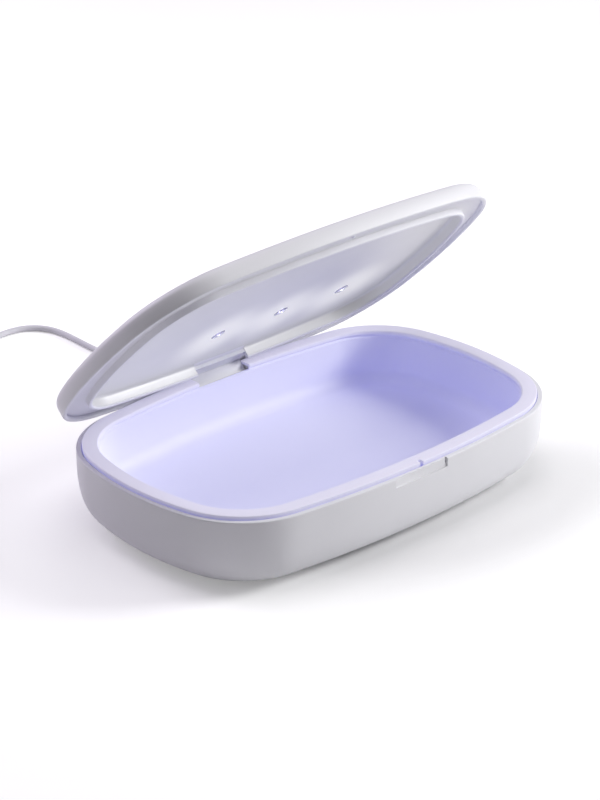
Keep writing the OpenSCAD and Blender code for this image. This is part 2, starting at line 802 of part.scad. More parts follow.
// tube through points, square to the path at both ends
function unit(v) = v / norm(v);
function path_dir(p, i) =
    i == 0 ? unit(p[1] - p[0])
    : i == len(p) - 1 ? unit(p[i] - p[i - 1])
    : unit(unit(p[i] - p[i - 1]) + unit(p[i + 1] - p[i]));
module tube(path, r, sides) {
    rings = [
        for (i = [0:len(path) - 1])
            let (t = path_dir(path, i), u = unit(cross([0, 0, 1], t)), v = cross(t, u))
            for (k = [0:sides - 1]) path[i] + r * (cos(360 * k / sides) * u + sin(360 * k / sides) * v)
    ];
    walls = [
        for (i = [0:len(path) - 2])
            for (k = [0:sides - 1])
                let (a = i * sides + k, b = i * sides + (k + 1) % sides)
                each [[a, a + sides, b + sides], [a, b + sides, b]]
    ];
    last = (len(path) - 1) * sides;
    caps = [
        for (k = [1:sides - 2]) each [[0, k, k + 1], [last, last + k + 1, last + k]]
    ];
    polyhedron(points = rings, faces = concat(walls, caps));
}

module power_cord() {
    color("#A9A8B2") tube(CORD, lead_d / 2, 8);
}

module cord_coil() {
    color("#A9A8B2") tube(COIL, lead_d / 2, 6);
}

// plug at the far end, lying beside the coil
far_w = 15.6;
far_h = 7.6;
far_l = 24;
far_nose_l = 8;
far_nose_r = 2.4;
tip_w = 12;
tip_h = 4.5;
tip_l = 12;

module far_plug() {
    color("#8F8E98") translate([coil_end.x, coil_end.y, 0]) {
        translate([0, 0, far_nose_r]) rotate([90, 0, 0]) cylinder(r = far_nose_r, h = far_nose_l);
        translate([-far_w / 2, -far_nose_l - far_l, 0]) cube([far_w, far_l, far_h]);
    }
}

module far_plug_shell() {
    color("#C4C6CA") translate([coil_end.x, coil_end.y - far_nose_l - far_l - tip_l, (far_h - tip_h) / 2])
        difference() {
            translate([-tip_w / 2, 0, 0]) cube([tip_w, tip_l, tip_h]);
            translate([-tip_w / 2 + 0.4, -eps, tip_h / 2]) cube([tip_w - 0.8, tip_l - 1, tip_h / 2 - 0.4]);
        }
}

lower_shell();
rubber_feet();
base_screws();
tray();
main_board();
board_parts();
board_screws();
power_socket();
base_magnets();
lid_sensor();
base_ribbon();
hinge_shaft();
lid_shell();
lid_liner();
mirror_plate();
led_board();
uv_leds();
led_windows();
heat_spreader();
hinge_block();
block_screws();
hinge_bushes();
lid_magnets();
lid_ribbon();
button_switch();
light_ring();
start_button();
box_plug();
box_plug_tip();
power_cord();
cord_coil();
far_plug();
far_plug_shell();
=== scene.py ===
"""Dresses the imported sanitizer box: smooth moulded skins, mirror, lamps, lead and their finishes, as seen in the photograph."""
import math

import bmesh
import bpy
from mathutils import Matrix, Vector


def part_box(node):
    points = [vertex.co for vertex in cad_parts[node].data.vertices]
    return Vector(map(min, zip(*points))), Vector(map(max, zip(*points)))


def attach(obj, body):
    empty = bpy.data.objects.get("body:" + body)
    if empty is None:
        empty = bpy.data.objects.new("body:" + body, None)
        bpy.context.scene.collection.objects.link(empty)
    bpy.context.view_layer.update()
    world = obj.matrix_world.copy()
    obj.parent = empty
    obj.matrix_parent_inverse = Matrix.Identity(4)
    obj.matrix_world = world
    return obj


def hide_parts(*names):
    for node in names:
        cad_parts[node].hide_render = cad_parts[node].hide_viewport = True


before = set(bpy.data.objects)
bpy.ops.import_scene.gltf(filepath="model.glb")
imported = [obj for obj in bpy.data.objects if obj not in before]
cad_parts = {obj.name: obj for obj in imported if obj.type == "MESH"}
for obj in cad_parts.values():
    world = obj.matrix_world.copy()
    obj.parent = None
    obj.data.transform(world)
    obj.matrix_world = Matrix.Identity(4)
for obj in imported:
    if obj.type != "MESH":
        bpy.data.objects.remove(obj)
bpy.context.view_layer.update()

bl_info = {
    "name": "Sanitizer Box Builder",
    "version": (1, 0, 0),
    "blender": (4, 5, 0),
    "location": "View3D > Sidebar > Sanitizer Box",
    "description": "Builds the moulded pieces, the lamps and the lead of an ultraviolet sanitizer box",
    "category": "Object",
}

MM = 0.001

# Sizes in millimetres, the same values as the part's source

BODY_L, BODY_W, BASE_H = 228.0, 146.0, 37.5
CORNER_R, SIDE_BOW, END_BOW = 45.0, 4.5, 2.7
WALL, BOTTOM_IN, FULLNESS, FOOT_H = 2.5, 26.0, 3.3, 1.0
TRAY_GAP, BEZEL_RISE, BEZEL_W, BEZEL_T = 0.3, 1.8, 8.0, 2.4
TRAY_DEPTH, TRAY_WALL, TRAY_FOOT_R, TRAY_LEAN = 26.0, 1.6, 7.0, 1.4
LID_OPEN, LID_H, LID_GAP, LID_WALL = 45.8, 11.1, 0.4, 2.2
LINER_CLEAR, LINER_T, LINER_GAP = 0.6, 1.6, 0.15
LIP_GAP, LIP_T, LIP_DROP, MIRROR_T, MIRROR_DEPTH = 2.1, 1.8, 3.3, 1.0, 6.0
LAMP_X, LAMP_Y, LAMP_PITCH, WINDOW_R = 19.0, 23.0, 40.0, 3.8
HINGE_IN, HINGE_DROP, KNUCKLE_R, HINGE_HALF, BLOCK_HALF = 5.0, 3.5, 3.6, 42.0, 15.8
KNUCKLE_GAP, COVE_GAP, SHAFT_R = 0.4, 0.3, 1.5
BUTTON_R, BUTTON_Y, BUTTON_TOP, BUTTON_GAP, RING_W = 7.0, 34.0, 0.4, 0.3, 1.2
SOCKET_X, PORT_Z, LEAD_D = 26.0, 8.9, 3.2
RECESS_X, RIB_X = -1.3, 1.0

HALF_L, HALF_W = BODY_L / 2, BODY_W / 2
FLOOR_Z = FOOT_H + WALL
BEZEL_Z = BASE_H + BEZEL_RISE
LID_Z = BASE_H + LID_GAP
LID_TOP_Z = LID_Z + LID_H
FLANGE_Z = BEZEL_Z + LINER_CLEAR
LIP_Z = FLANGE_Z - LIP_DROP
MIRROR_Z = LIP_Z + MIRROR_DEPTH
TRAY_FLOOR_Z = BEZEL_Z - TRAY_DEPTH
TRAY_UNDER_Z = TRAY_FLOOR_Z - TRAY_WALL
BEZEL_IN = WALL + TRAY_GAP
MOUTH_IN = BEZEL_IN + BEZEL_W
LIP_IN = MOUTH_IN + LIP_GAP
PAN_IN = LIP_IN + LIP_T
MIRROR_IN = LIP_IN + LIP_T / 2
HINGE_Y, HINGE_Z = HALF_W - HINGE_IN, BASE_H - HINGE_DROP
BUTTON_Z = LID_TOP_Z - 2.4

# Route of the lead, as in the part's source
LEAD_ROUTE = [
    (26, 96.6, 8.9), (26, 104, 8.9), (26, 112, 8.2), (26, 120, 6.4), (26, 128, 4.2), (26, 136, 2.4),
    (26, 144, 1.6), (26, 152, 1.6), (26, 160, 1.6), (26, 168, 1.6), (26, 176, 1.6), (26, 184, 1.6),
    (26, 192, 1.6), (26.2, 200, 1.6), (26.5, 208, 1.6), (26.8, 216, 1.6), (26.6, 223, 1.6), (25.2, 230, 1.6),
    (21.4, 236.5, 1.6), (15.6, 240.6, 1.6), (9, 242.3, 1.6), (2, 242.5, 1.6), (-6, 242.3, 1.6), (-14, 242, 1.6),
    (-22, 242, 1.6), (-30, 242, 1.6), (-38, 242, 1.6), (-46, 242, 1.6), (-54, 242, 1.6), (-62, 242, 1.6),
    (-70, 242, 1.6),
]
COIL_TURNS, COIL_R, COIL_GAP, LOOP_RINGS, TAIL_OUT = 3.5, 24.0, 0.55, 24, 6.0


# Outline of the box

def outline_arcs():
    """Centres and radii of the three arcs of a quarter: end, corner, side."""
    side_r = ((HALF_L - CORNER_R) ** 2 + SIDE_BOW**2) / (2 * SIDE_BOW)
    end_r = ((HALF_W - CORNER_R) ** 2 + END_BOW**2) / (2 * END_BOW)
    side_c = Vector((0, HALF_W - side_r))
    end_c = Vector((HALF_L - end_r, 0))
    apart = end_c - side_c
    gap = apart.length
    along = ((side_r - CORNER_R) ** 2 - (end_r - CORNER_R) ** 2 + gap**2) / (2 * gap)
    across = math.sqrt((side_r - CORNER_R) ** 2 - along**2)
    way = apart / gap
    corner_c = side_c + along * way + across * Vector((way.y, -way.x))
    return end_c, end_r, corner_c, side_c, side_r


END_C, END_R, CORNER_C, SIDE_C, SIDE_R = outline_arcs()
CORNER_FROM = math.atan2(CORNER_C.y - END_C.y, CORNER_C.x - END_C.x)
CORNER_TO = math.atan2(CORNER_C.y - SIDE_C.y, CORNER_C.x - SIDE_C.x)
END_STEPS, CORNER_STEPS, SIDE_STEPS = 5, 18, 12


def arc_points(centre, radius, first, last, steps):
    return [
        (centre.x + radius * math.cos(a), centre.y + radius * math.sin(a))
        for a in (first + (last - first) * i / steps for i in range(steps))
    ]


def outline(inset):
    """The box's outline seen from above, drawn in by inset, as points in mm."""
    quarter = arc_points(END_C, END_R - inset, 0, CORNER_FROM, END_STEPS)
    quarter += arc_points(CORNER_C, CORNER_R - inset, CORNER_FROM, CORNER_TO, CORNER_STEPS)
    quarter += arc_points(SIDE_C, SIDE_R - inset, CORNER_TO, math.pi / 2, SIDE_STEPS)
    top = [(0.0, HALF_W - inset)]
    half = quarter + top + [(-x, y) for x, y in reversed(quarter)]
    return half[:-1] + [(-x, -y) for x, y in half[:-1]]


def level(z, inset):
    return [(x, y, z) for x, y in outline(inset)]


def rounded(z, inset, radius, first, last, steps=4):
    """Levels round an edge: centre at height z and inset, angles in degrees from outwards to up."""
    out = []
    for i in range(steps + 1):
        a = math.radians(first + (last - first) * i / steps)
        out.append((z + radius * math.sin(a), inset - radius * math.cos(a)))
    return out


# Modelling helpers

def deselect():
    if bpy.context.object and bpy.context.object.mode != "OBJECT":
        bpy.ops.object.mode_set(mode="OBJECT")
    bpy.ops.object.select_all(action="DESELECT")


def pick(piece):
    deselect()
    piece.select_set(True)
    bpy.context.view_layer.objects.active = piece


def settle(piece):
    """Moves the piece's place into its mesh, so that its object sits at the origin."""
    piece.data.transform(piece.matrix_world)
    piece.matrix_world = Matrix.Identity(4)


def grown(name, rings, ends="both", joined=False):
    """A skin extruded ring by ring from a circle. The rings are lists of points in mm, alike in number."""
    deselect()
    count = len(rings[0])
    bpy.ops.mesh.primitive_circle_add(vertices=count, radius=MM, fill_type="NOTHING")
    piece = bpy.context.object
    piece.name = name
    piece.data.name = name
    settle(piece)
    bpy.ops.object.mode_set(mode="EDIT")
    bpy.ops.mesh.select_mode(type="EDGE")
    ring = list(range(count))
    place_ring(piece, ring, rings[0])
    for points in rings[1:]:
        select_ring(piece, ring)
        bpy.ops.mesh.extrude_edges_move()
        ring = new_ring(piece, ring)
        place_ring(piece, ring, points)
    if ends in ("both", "last"):
        select_ring(piece, ring)
        bpy.ops.mesh.edge_face_add()
    if ends in ("both", "first"):
        select_ring(piece, range(count))
        bpy.ops.mesh.edge_face_add()
    bpy.ops.mesh.select_all(action="SELECT")
    if joined:
        bpy.ops.mesh.remove_doubles(threshold=0.002 * MM)
    bpy.ops.mesh.normals_make_consistent(inside=False)
    bpy.ops.object.mode_set(mode="OBJECT")
    return piece


def edit_mesh(piece):
    mesh = bmesh.from_edit_mesh(piece.data)
    mesh.verts.index_update()
    mesh.verts.ensure_lookup_table()
    return mesh


def new_ring(piece, ring):
    """The vertices that the last extrusion made, in the order of the ring that it started from."""
    mesh = edit_mesh(piece)
    old = set(ring)
    found = []
    for index in ring:
        ways = [edge.other_vert(mesh.verts[index]) for edge in mesh.verts[index].link_edges]
        found += [vert.index for vert in ways if vert.select and vert.index not in old]
    return found


def place_ring(piece, ring, points):
    mesh = edit_mesh(piece)
    for index, point in zip(ring, points):
        mesh.verts[index].co = Vector(point) * MM
    bmesh.update_edit_mesh(piece.data)


def select_ring(piece, ring):
    bpy.ops.mesh.select_all(action="DESELECT")
    mesh = edit_mesh(piece)
    chosen = set(ring)
    for edge in mesh.edges:
        if edge.verts[0].index in chosen and edge.verts[1].index in chosen and not (edge.is_manifold and len(chosen) > 1):
            edge.select_set(True)
    mesh.select_flush_mode()
    bmesh.update_edit_mesh(piece.data)


def levels_skin(name, levels, ends="both", joined=False):
    return grown(name, [level(z, inset) for z, inset in levels], ends, joined)


def smooth(piece, angle=32):
    pick(piece)
    bpy.ops.object.shade_smooth_by_angle(angle=math.radians(angle))


def with_modifier(piece, kind, **settings):
    """Adds a modifier to the piece and applies it."""
    pick(piece)
    modifier = piece.modifiers.new(kind.lower(), kind)
    for key, value in settings.items():
        setattr(modifier, key, value)
    bpy.ops.object.modifier_apply(modifier=modifier.name)


def cut(piece, *cutters, operation="DIFFERENCE"):
    """Takes the cutters' shapes out of the piece, or joins them to it, and removes the cutters."""
    for cutter in cutters:
        with_modifier(piece, "BOOLEAN", operation=operation, object=cutter, solver="EXACT")
        bpy.data.objects.remove(cutter, do_unlink=True)


def block(name, low, high, radius=0.0, segments=3):
    """A box from its low to its high corner in mm, with its edges bevelled."""
    deselect()
    centre = [(a + b) / 2 * MM for a, b in zip(low, high)]
    size = [(b - a) * MM for a, b in zip(low, high)]
    bpy.ops.mesh.primitive_cube_add(size=1, location=centre, scale=size)
    piece = bpy.context.object
    piece.name = name
    piece.data.name = name
    settle(piece)
    if radius:
        bpy.ops.object.mode_set(mode="EDIT")
        bpy.ops.mesh.select_all(action="SELECT")
        bpy.ops.mesh.bevel(offset=radius * MM, segments=segments, affect="EDGES")
        bpy.ops.object.mode_set(mode="OBJECT")
    return piece


def turned(name, profile, place=(0, 0, 0), axis="Z", steps=48):
    """A turned piece: its profile is (radius, height) in mm, first and last on the axis if it is closed there."""
    deselect()
    bpy.ops.mesh.primitive_circle_add(vertices=3, radius=MM, fill_type="NOTHING")
    piece = bpy.context.object
    piece.name = name
    piece.data.name = name
    settle(piece)
    bpy.ops.object.mode_set(mode="EDIT")
    bpy.ops.mesh.select_all(action="SELECT")
    bpy.ops.mesh.delete(type="VERT")
    mesh = bmesh.from_edit_mesh(piece.data)
    line = [mesh.verts.new((r * MM, 0, h * MM)) for r, h in profile]
    for a, b in zip(line, line[1:]):
        mesh.edges.new((a, b))
    bmesh.update_edit_mesh(piece.data)
    bpy.ops.mesh.select_all(action="SELECT")
    bpy.ops.mesh.spin(steps=steps, angle=2 * math.pi, center=(0, 0, 0), axis=(0, 0, 1))
    bpy.ops.mesh.select_all(action="SELECT")
    bpy.ops.mesh.remove_doubles(threshold=0.002 * MM)
    bpy.ops.mesh.normals_make_consistent(inside=False)
    bpy.ops.object.mode_set(mode="OBJECT")
    turn = {"Z": Matrix.Identity(4), "X": Matrix.Rotation(math.pi / 2, 4, "Y"), "Y": Matrix.Rotation(-math.pi / 2, 4, "X")}
    piece.data.transform(Matrix.Translation(Vector(place) * MM) @ turn[axis])
    return piece


def rod(name, radius, place, length, axis="Z", edge=0.0, steps=48):
    profile = [(0, 0), (radius - edge, 0), (radius, edge), (radius, length - edge), (radius - edge, length), (0, length)]
    if not edge:
        profile = [(0, 0), (radius, 0), (radius, length), (0, length)]
    return turned(name, profile, place, axis, steps)


def bar_ring(width, height, y, centre, corner=8):
    """A flat round-ended section square to Y, as points in mm."""
    r = height / 2
    reach = width / 2 - r
    points = []
    for side, start in ((1, -90), (-1, 90)):
        for i in range(corner + 1):
            a = math.radians(start + 180 * i / corner)
            points.append((centre[0] + side * reach + r * math.cos(a), y, centre[1] + r * math.sin(a)))
    return points


def lid_turn():
    """The turn that takes the closed lid to where it stands at rest."""
    axis = Vector((0, HINGE_Y, HINGE_Z)) * MM
    return Matrix.Translation(axis) @ Matrix.Rotation(math.radians(-LID_OPEN), 4, "X") @ Matrix.Translation(-axis)


def open_lid(piece):
    piece.data.transform(lid_turn())


def mount(piece, body, slot, material, *nodes, angle=32):
    """Smooths a finished piece, gives it its material and ties it to the frame."""
    smooth(piece, angle)
    piece.data.materials.clear()
    piece.data.materials.append(material)
    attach(piece, body)
    if nodes:
        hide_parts(*nodes)
    return piece


# Materials

def colour(code, alpha=1.0):
    """Linear colour of an sRGB hex value."""
    parts = [int(code[i:i + 2], 16) / 255 for i in (1, 3, 5)]
    return [p / 12.92 if p <= 0.04045 else ((p + 0.055) / 1.055) ** 2.4 for p in parts] + [alpha]


def add_node(tree, kind, settings=None, **links):
    """Adds a node, sets its properties or input values, and links its inputs."""
    node = tree.nodes.new(kind)
    for key, value in (settings or {}).items():
        if isinstance(key, int) or key in node.inputs:
            node.inputs[key].default_value = value
        else:
            setattr(node, key, value)
    for key, source in links.items():
        tree.links.new(source, node.inputs[key.replace("_", " ")])
    return node


def plain_material(name, base, roughness, metallic=0.0, ior=1.5, **sockets):
    material = bpy.data.materials.new(name)
    material.use_nodes = True
    tree = material.node_tree
    shader = tree.nodes["Principled BSDF"]
    shader.inputs["Base Color"].default_value = colour(base)
    shader.inputs["Roughness"].default_value = roughness
    shader.inputs["Metallic"].default_value = metallic
    if not metallic:
        shader.inputs["IOR"].default_value = ior
    for key, value in sockets.items():
        shader.inputs[key.replace("_", " ")].default_value = value
    return material, tree, shader


def grain(tree, shader, size_mm, strength, distance_mm=0.05, detail=2.0, stretch=(1, 1, 1)):
    """A fine relief in the surface, from noise of that grain size."""
    coords = add_node(tree, "ShaderNodeTexCoord")
    mapped = add_node(tree, "ShaderNodeMapping", {"Scale": stretch}, Vector=coords.outputs["Object"])
    noise = add_node(tree, "ShaderNodeTexNoise", {"Scale": 1 / (size_mm * MM), "Detail": detail}, Vector=mapped.outputs["Vector"])
    bump = add_node(tree, "ShaderNodeBump", {"Strength": strength, "Distance": distance_mm * MM}, Height=noise.outputs["Fac"])
    tree.links.new(bump.outputs["Normal"], shader.inputs["Normal"])
    return mapped


def mottled(tree, shader, mapped, base, other, size_mm, low=0.35, high=0.65):
    """Slow change between two near colours over the surface."""
    noise = add_node(tree, "ShaderNodeTexNoise", {"Scale": 1 / (size_mm * MM), "Detail": 3.0}, Vector=mapped.outputs["Vector"])
    ramp = add_node(tree, "ShaderNodeValToRGB", None, Fac=noise.outputs["Fac"])
    ramp.color_ramp.elements[0].position = low
    ramp.color_ramp.elements[0].color = colour(base)
    ramp.color_ramp.elements[1].position = high
    ramp.color_ramp.elements[1].color = colour(other)
    tree.links.new(ramp.outputs["Color"], shader.inputs["Base Color"])
    return ramp


def finish_of(name, base, other, roughness, metallic=0.0, ior=1.5, grain_mm=0.5, relief=0.15, patch_mm=18, stretch=(1, 1, 1), **sockets):
    """A finish with grain and a slow change of colour."""
    material, tree, shader = plain_material(name, base, roughness, metallic, ior, **sockets)
    mapped = grain(tree, shader, grain_mm, relief, stretch=stretch)
    mottled(tree, shader, mapped, base, other, patch_mm)
    return material


MATERIALS = {}


def make_materials(look):
    # ABS, injection moulded in a spark-eroded tool: a satin white with a fine even grain
    MATERIALS["shell"] = finish_of("satin_moulded_ABS", look.shell_colour, "#E4E4E8", 0.48, ior=1.5, grain_mm=0.45, relief=0.08,
                                   patch_mm=70)
    # Polycarbonate, moulded in a finely etched tool: smooth and nearly matt, with the violet of the lamps' light
    # painted on as a glow
    MATERIALS["tray"] = tray_material(look)
    # PC sheet, vacuum metallised: a soft grey mirror with a slight orange peel
    MATERIALS["mirror"] = mirror_material(look)
    # TPE, extruded: the matt grey sheath of the lead with a faint draw grain along it
    MATERIALS["lead"] = finish_of("extruded_TPE_sheath", look.lead_colour, "#D3D2D9", 0.55, ior=1.5, grain_mm=0.3, relief=0.12)
    # Thermoplastic elastomer, overmoulded: the plugs' grips
    MATERIALS["grip"] = finish_of("overmoulded_TPE", "#B4B3BB", "#ADACB4", 0.5, grain_mm=0.35, relief=0.15)
    # Silicone rubber, moulded: matt grey feet
    MATERIALS["rubber"] = finish_of("moulded_silicone_rubber", "#6A6A70", "#626268", 0.75, ior=1.42, grain_mm=0.4, relief=0.2)
    # Carbon steel, zinc plated and cold headed: screws and the hinge pin, drawn along its length
    MATERIALS["steel"] = finish_of("zinc_plated_steel", "#A4A6AA", "#B0B2B6", 0.32, 1.0, grain_mm=0.6, relief=0.12, patch_mm=3)
    # Stainless steel, deep drawn: the sockets' and plugs' shells
    MATERIALS["drawn_steel"] = finish_of("deep_drawn_stainless_steel", "#B9BBBF", "#C3C5C9", 0.28, 1.0, grain_mm=0.8, relief=0.08,
                                         patch_mm=4, stretch=(1, 6, 1))
    # Neodymium magnet, nickel plated: bright, a little rounded by barrel finishing
    MATERIALS["nickel"] = finish_of("nickel_plated_magnet", "#ABA99F", "#B5B3AA", 0.2, 1.0, grain_mm=1.0, relief=0.06, patch_mm=3)
    # FR4 laminate under a screened solder mask: green, with the weave just telling through it
    MATERIALS["board"] = board_material("screened_solder_mask_green", "#1F5A3C", "#27694A")
    MATERIALS["lamp_board"] = board_material("screened_solder_mask_white", "#ECEDEE", "#DFE1E3")
    # Epoxy, transfer moulded: black chip packages, matt with a fine grain
    MATERIALS["epoxy"] = finish_of("transfer_moulded_epoxy", "#232326", "#2B2B2F", 0.6, grain_mm=0.25, relief=0.25, patch_mm=4)
    # Polyimide film, laminated over copper: amber ribbon, its tracks running along it
    MATERIALS["film"] = ribbon_material()
    # Fused quartz, cut and polished: clear round windows
    material, tree, shader = plain_material("polished_fused_quartz", "#F4F4FF", 0.06, ior=1.46, Transmission_Weight=0.85)
    grain(tree, shader, 2.0, 0.03, 0.02)
    MATERIALS["quartz"] = material
    # Alumina, pressed and fired, with its phosphor-free die lit: a small bright lamp
    material, tree, shader = plain_material("fired_alumina_lamp", "#F1EEFF", 0.35)
    shader.inputs["Emission Color"].default_value = colour("#EDEBFF")
    shader.inputs["Emission Strength"].default_value = look.lamp_glow
    mapped = grain(tree, shader, 0.4, 0.1)
    mottled(tree, shader, mapped, "#F1EEFF", "#E4DFFF", 1.5)
    MATERIALS["lamp"] = material
    # Aluminium, rolled: the spreader's mill finish, lines along the strip
    MATERIALS["aluminium"] = finish_of("rolled_aluminium", "#BFC1C5", "#C9CBCF", 0.36, 1.0, grain_mm=0.5, relief=0.12, patch_mm=6,
                                       stretch=(0.1, 1, 1))
    # Acetal, moulded: waxy grey bushes
    MATERIALS["acetal"] = finish_of("moulded_acetal", "#8C8C92", "#94949A", 0.4, ior=1.48, grain_mm=0.4, relief=0.08, patch_mm=4)
    # Opal polycarbonate, moulded: the light ring round the button, lit through a little
    MATERIALS["ring"] = finish_of("opal_polycarbonate", "#F2F3FA", "#E8E9F4", 0.3, ior=1.58, grain_mm=0.8, relief=0.05,
                                  Emission_Color=colour("#DCD8FF"), Emission_Strength=0.15)
    # ABS, moulded and lightly polished: the button's cap
    MATERIALS["cap"] = finish_of("polished_ABS_cap", "#ECECEF", "#E4E4E8", 0.3, ior=1.54, grain_mm=0.6, relief=0.05)


def tray_material(look):
    material, tree, shader = plain_material("fine_etched_polycarbonate", look.tray_colour, 0.55, ior=1.45)
    coords = add_node(tree, "ShaderNodeTexCoord")
    axes = add_node(tree, "ShaderNodeSeparateXYZ", None, Vector=coords.outputs["Object"])
    # from the white rim down into the tray, base colour and painted light change with depth: the rim's darker colour
    # under an even pale painted glow gives way to the near-white tray colour under the violet painted glow of the
    # lamps' light
    depth = add_node(tree, "ShaderNodeMapRange", {"From Min": (BEZEL_Z - 0.1) * MM, "From Max": (BEZEL_Z - 2.6) * MM},
                     Value=axes.outputs["Z"])
    noise = add_node(tree, "ShaderNodeTexNoise", {"Scale": 30.0, "Detail": 2.0}, Vector=coords.outputs["Object"])
    spread = add_node(tree, "ShaderNodeMath", {"operation": "MULTIPLY_ADD", 1: 0.12, 2: -0.06}, Value=noise.outputs["Fac"])
    shade = add_node(tree, "ShaderNodeMath", {"operation": "ADD", "use_clamp": True})
    tree.links.new(depth.outputs["Result"], shade.inputs[0])
    tree.links.new(spread.outputs["Value"], shade.inputs[1])
    ramp = add_node(tree, "ShaderNodeValToRGB", None, Fac=shade.outputs["Value"])
    ramp.color_ramp.elements[0].color = colour(look.rim_colour)
    ramp.color_ramp.elements[1].color = colour(look.tray_colour)
    tree.links.new(ramp.outputs["Color"], shader.inputs["Base Color"])
    glow = add_node(tree, "ShaderNodeValToRGB", None, Fac=shade.outputs["Value"])
    glow.color_ramp.elements[0].color = colour(look.rim_painted_light_colour)
    glow.color_ramp.elements[1].color = colour(look.tray_painted_light_colour)
    tree.links.new(glow.outputs["Color"], shader.inputs["Emission Color"])
    # the painted glow is turned off on the knuckles behind the tray
    behind = add_node(tree, "ShaderNodeMath", {"operation": "GREATER_THAN", 1: (HINGE_Y - KNUCKLE_R - 1) * MM}, Value=axes.outputs["Y"])
    below = add_node(tree, "ShaderNodeMath", {"operation": "LESS_THAN", 1: (BASE_H + 0.3) * MM}, Value=axes.outputs["Z"])
    knuckle = add_node(tree, "ShaderNodeMath", {"operation": "MULTIPLY"})
    tree.links.new(behind.outputs["Value"], knuckle.inputs[0])
    tree.links.new(below.outputs["Value"], knuckle.inputs[1])
    strength = add_node(tree, "ShaderNodeMath", {"operation": "MULTIPLY_ADD", 1: -look.tray_painted_light_strength, 2: look.tray_painted_light_strength},
                        Value=knuckle.outputs["Value"])
    tree.links.new(strength.outputs["Value"], shader.inputs["Emission Strength"])
    grain_noise = add_node(tree, "ShaderNodeTexNoise", {"Scale": 1 / (0.6 * MM), "Detail": 2.0}, Vector=coords.outputs["Object"])
    bump = add_node(tree, "ShaderNodeBump", {"Strength": 0.05, "Distance": 0.05 * MM}, Height=grain_noise.outputs["Fac"])
    tree.links.new(bump.outputs["Normal"], shader.inputs["Normal"])
    return material


def mirror_material(look):
    material, tree, shader = plain_material("vacuum_metallised_PC", look.mirror_colour, 0.46, 0.3)
    mapped = grain(tree, shader, 6.0, 0.04, 0.02)
    mottled(tree, shader, mapped, look.mirror_colour, "#C5C5C9", 60)
    # painted light of the lamps on the coating: a painted halo, strongest at each lamp
    coords = add_node(tree, "ShaderNodeTexCoord")
    total = None
    for x, y in lamp_places():
        centre = lid_turn() @ (Vector((x, y, MIRROR_Z)) * MM)
        away = add_node(tree, "ShaderNodeVectorMath", {"operation": "DISTANCE", 1: centre}, Vector=coords.outputs["Object"])
        halo = add_node(tree, "ShaderNodeMapRange", {"interpolation_type": "SMOOTHERSTEP", "From Min": 34 * MM, "From Max": 2 * MM},
                        Value=away.outputs["Value"])
        if total is None:
            total = halo.outputs["Result"]
            continue
        both = add_node(tree, "ShaderNodeMath", {"operation": "ADD"})
        tree.links.new(total, both.inputs[0])
        tree.links.new(halo.outputs["Result"], both.inputs[1])
        total = both.outputs["Value"]
    # an even painted glow of 0.13 on the whole mirror, with the painted halos on top
    level = add_node(tree, "ShaderNodeMath", {"operation": "MULTIPLY_ADD", 1: look.mirror_painted_light_strength, 2: 0.13})
    tree.links.new(total, level.inputs[0])
    tree.links.new(level.outputs["Value"], shader.inputs["Emission Strength"])
    # warm tint of the mirror's painted glow
    shader.inputs["Emission Color"].default_value = colour("#FFFFEA")
    return material


def board_material(name, base, weave):
    material, tree, shader = plain_material(name, base, 0.32, ior=1.55)
    mapped = grain(tree, shader, 0.8, 0.12)
    wave = add_node(tree, "ShaderNodeTexWave", {"Scale": 1 / (2.4 * MM), "Distortion": 1.5}, Vector=mapped.outputs["Vector"])
    ramp = add_node(tree, "ShaderNodeValToRGB", None, Fac=wave.outputs["Fac"])
    ramp.color_ramp.elements[0].color = colour(base)
    ramp.color_ramp.elements[1].color = colour(weave)
    tree.links.new(ramp.outputs["Color"], shader.inputs["Base Color"])
    return material


def ribbon_material():
    material, tree, shader = plain_material("laminated_polyimide_film", "#B98B3A", 0.3, ior=1.6)
    mapped = grain(tree, shader, 0.6, 0.06)
    # tracks a millimetre apart across the ribbon
    wave = add_node(tree, "ShaderNodeTexWave", {"Scale": 1 / (6.4 * MM), "bands_direction": "X"}, Vector=mapped.outputs["Vector"])
    ramp = add_node(tree, "ShaderNodeValToRGB", None, Fac=wave.outputs["Fac"])
    ramp.color_ramp.elements[0].position = 0.45
    ramp.color_ramp.elements[0].color = colour("#B98B3A")
    ramp.color_ramp.elements[1].position = 0.55
    ramp.color_ramp.elements[1].color = colour("#9A6A2A")
    tree.links.new(ramp.outputs["Color"], shader.inputs["Base Color"])
    return material


# What a user would change

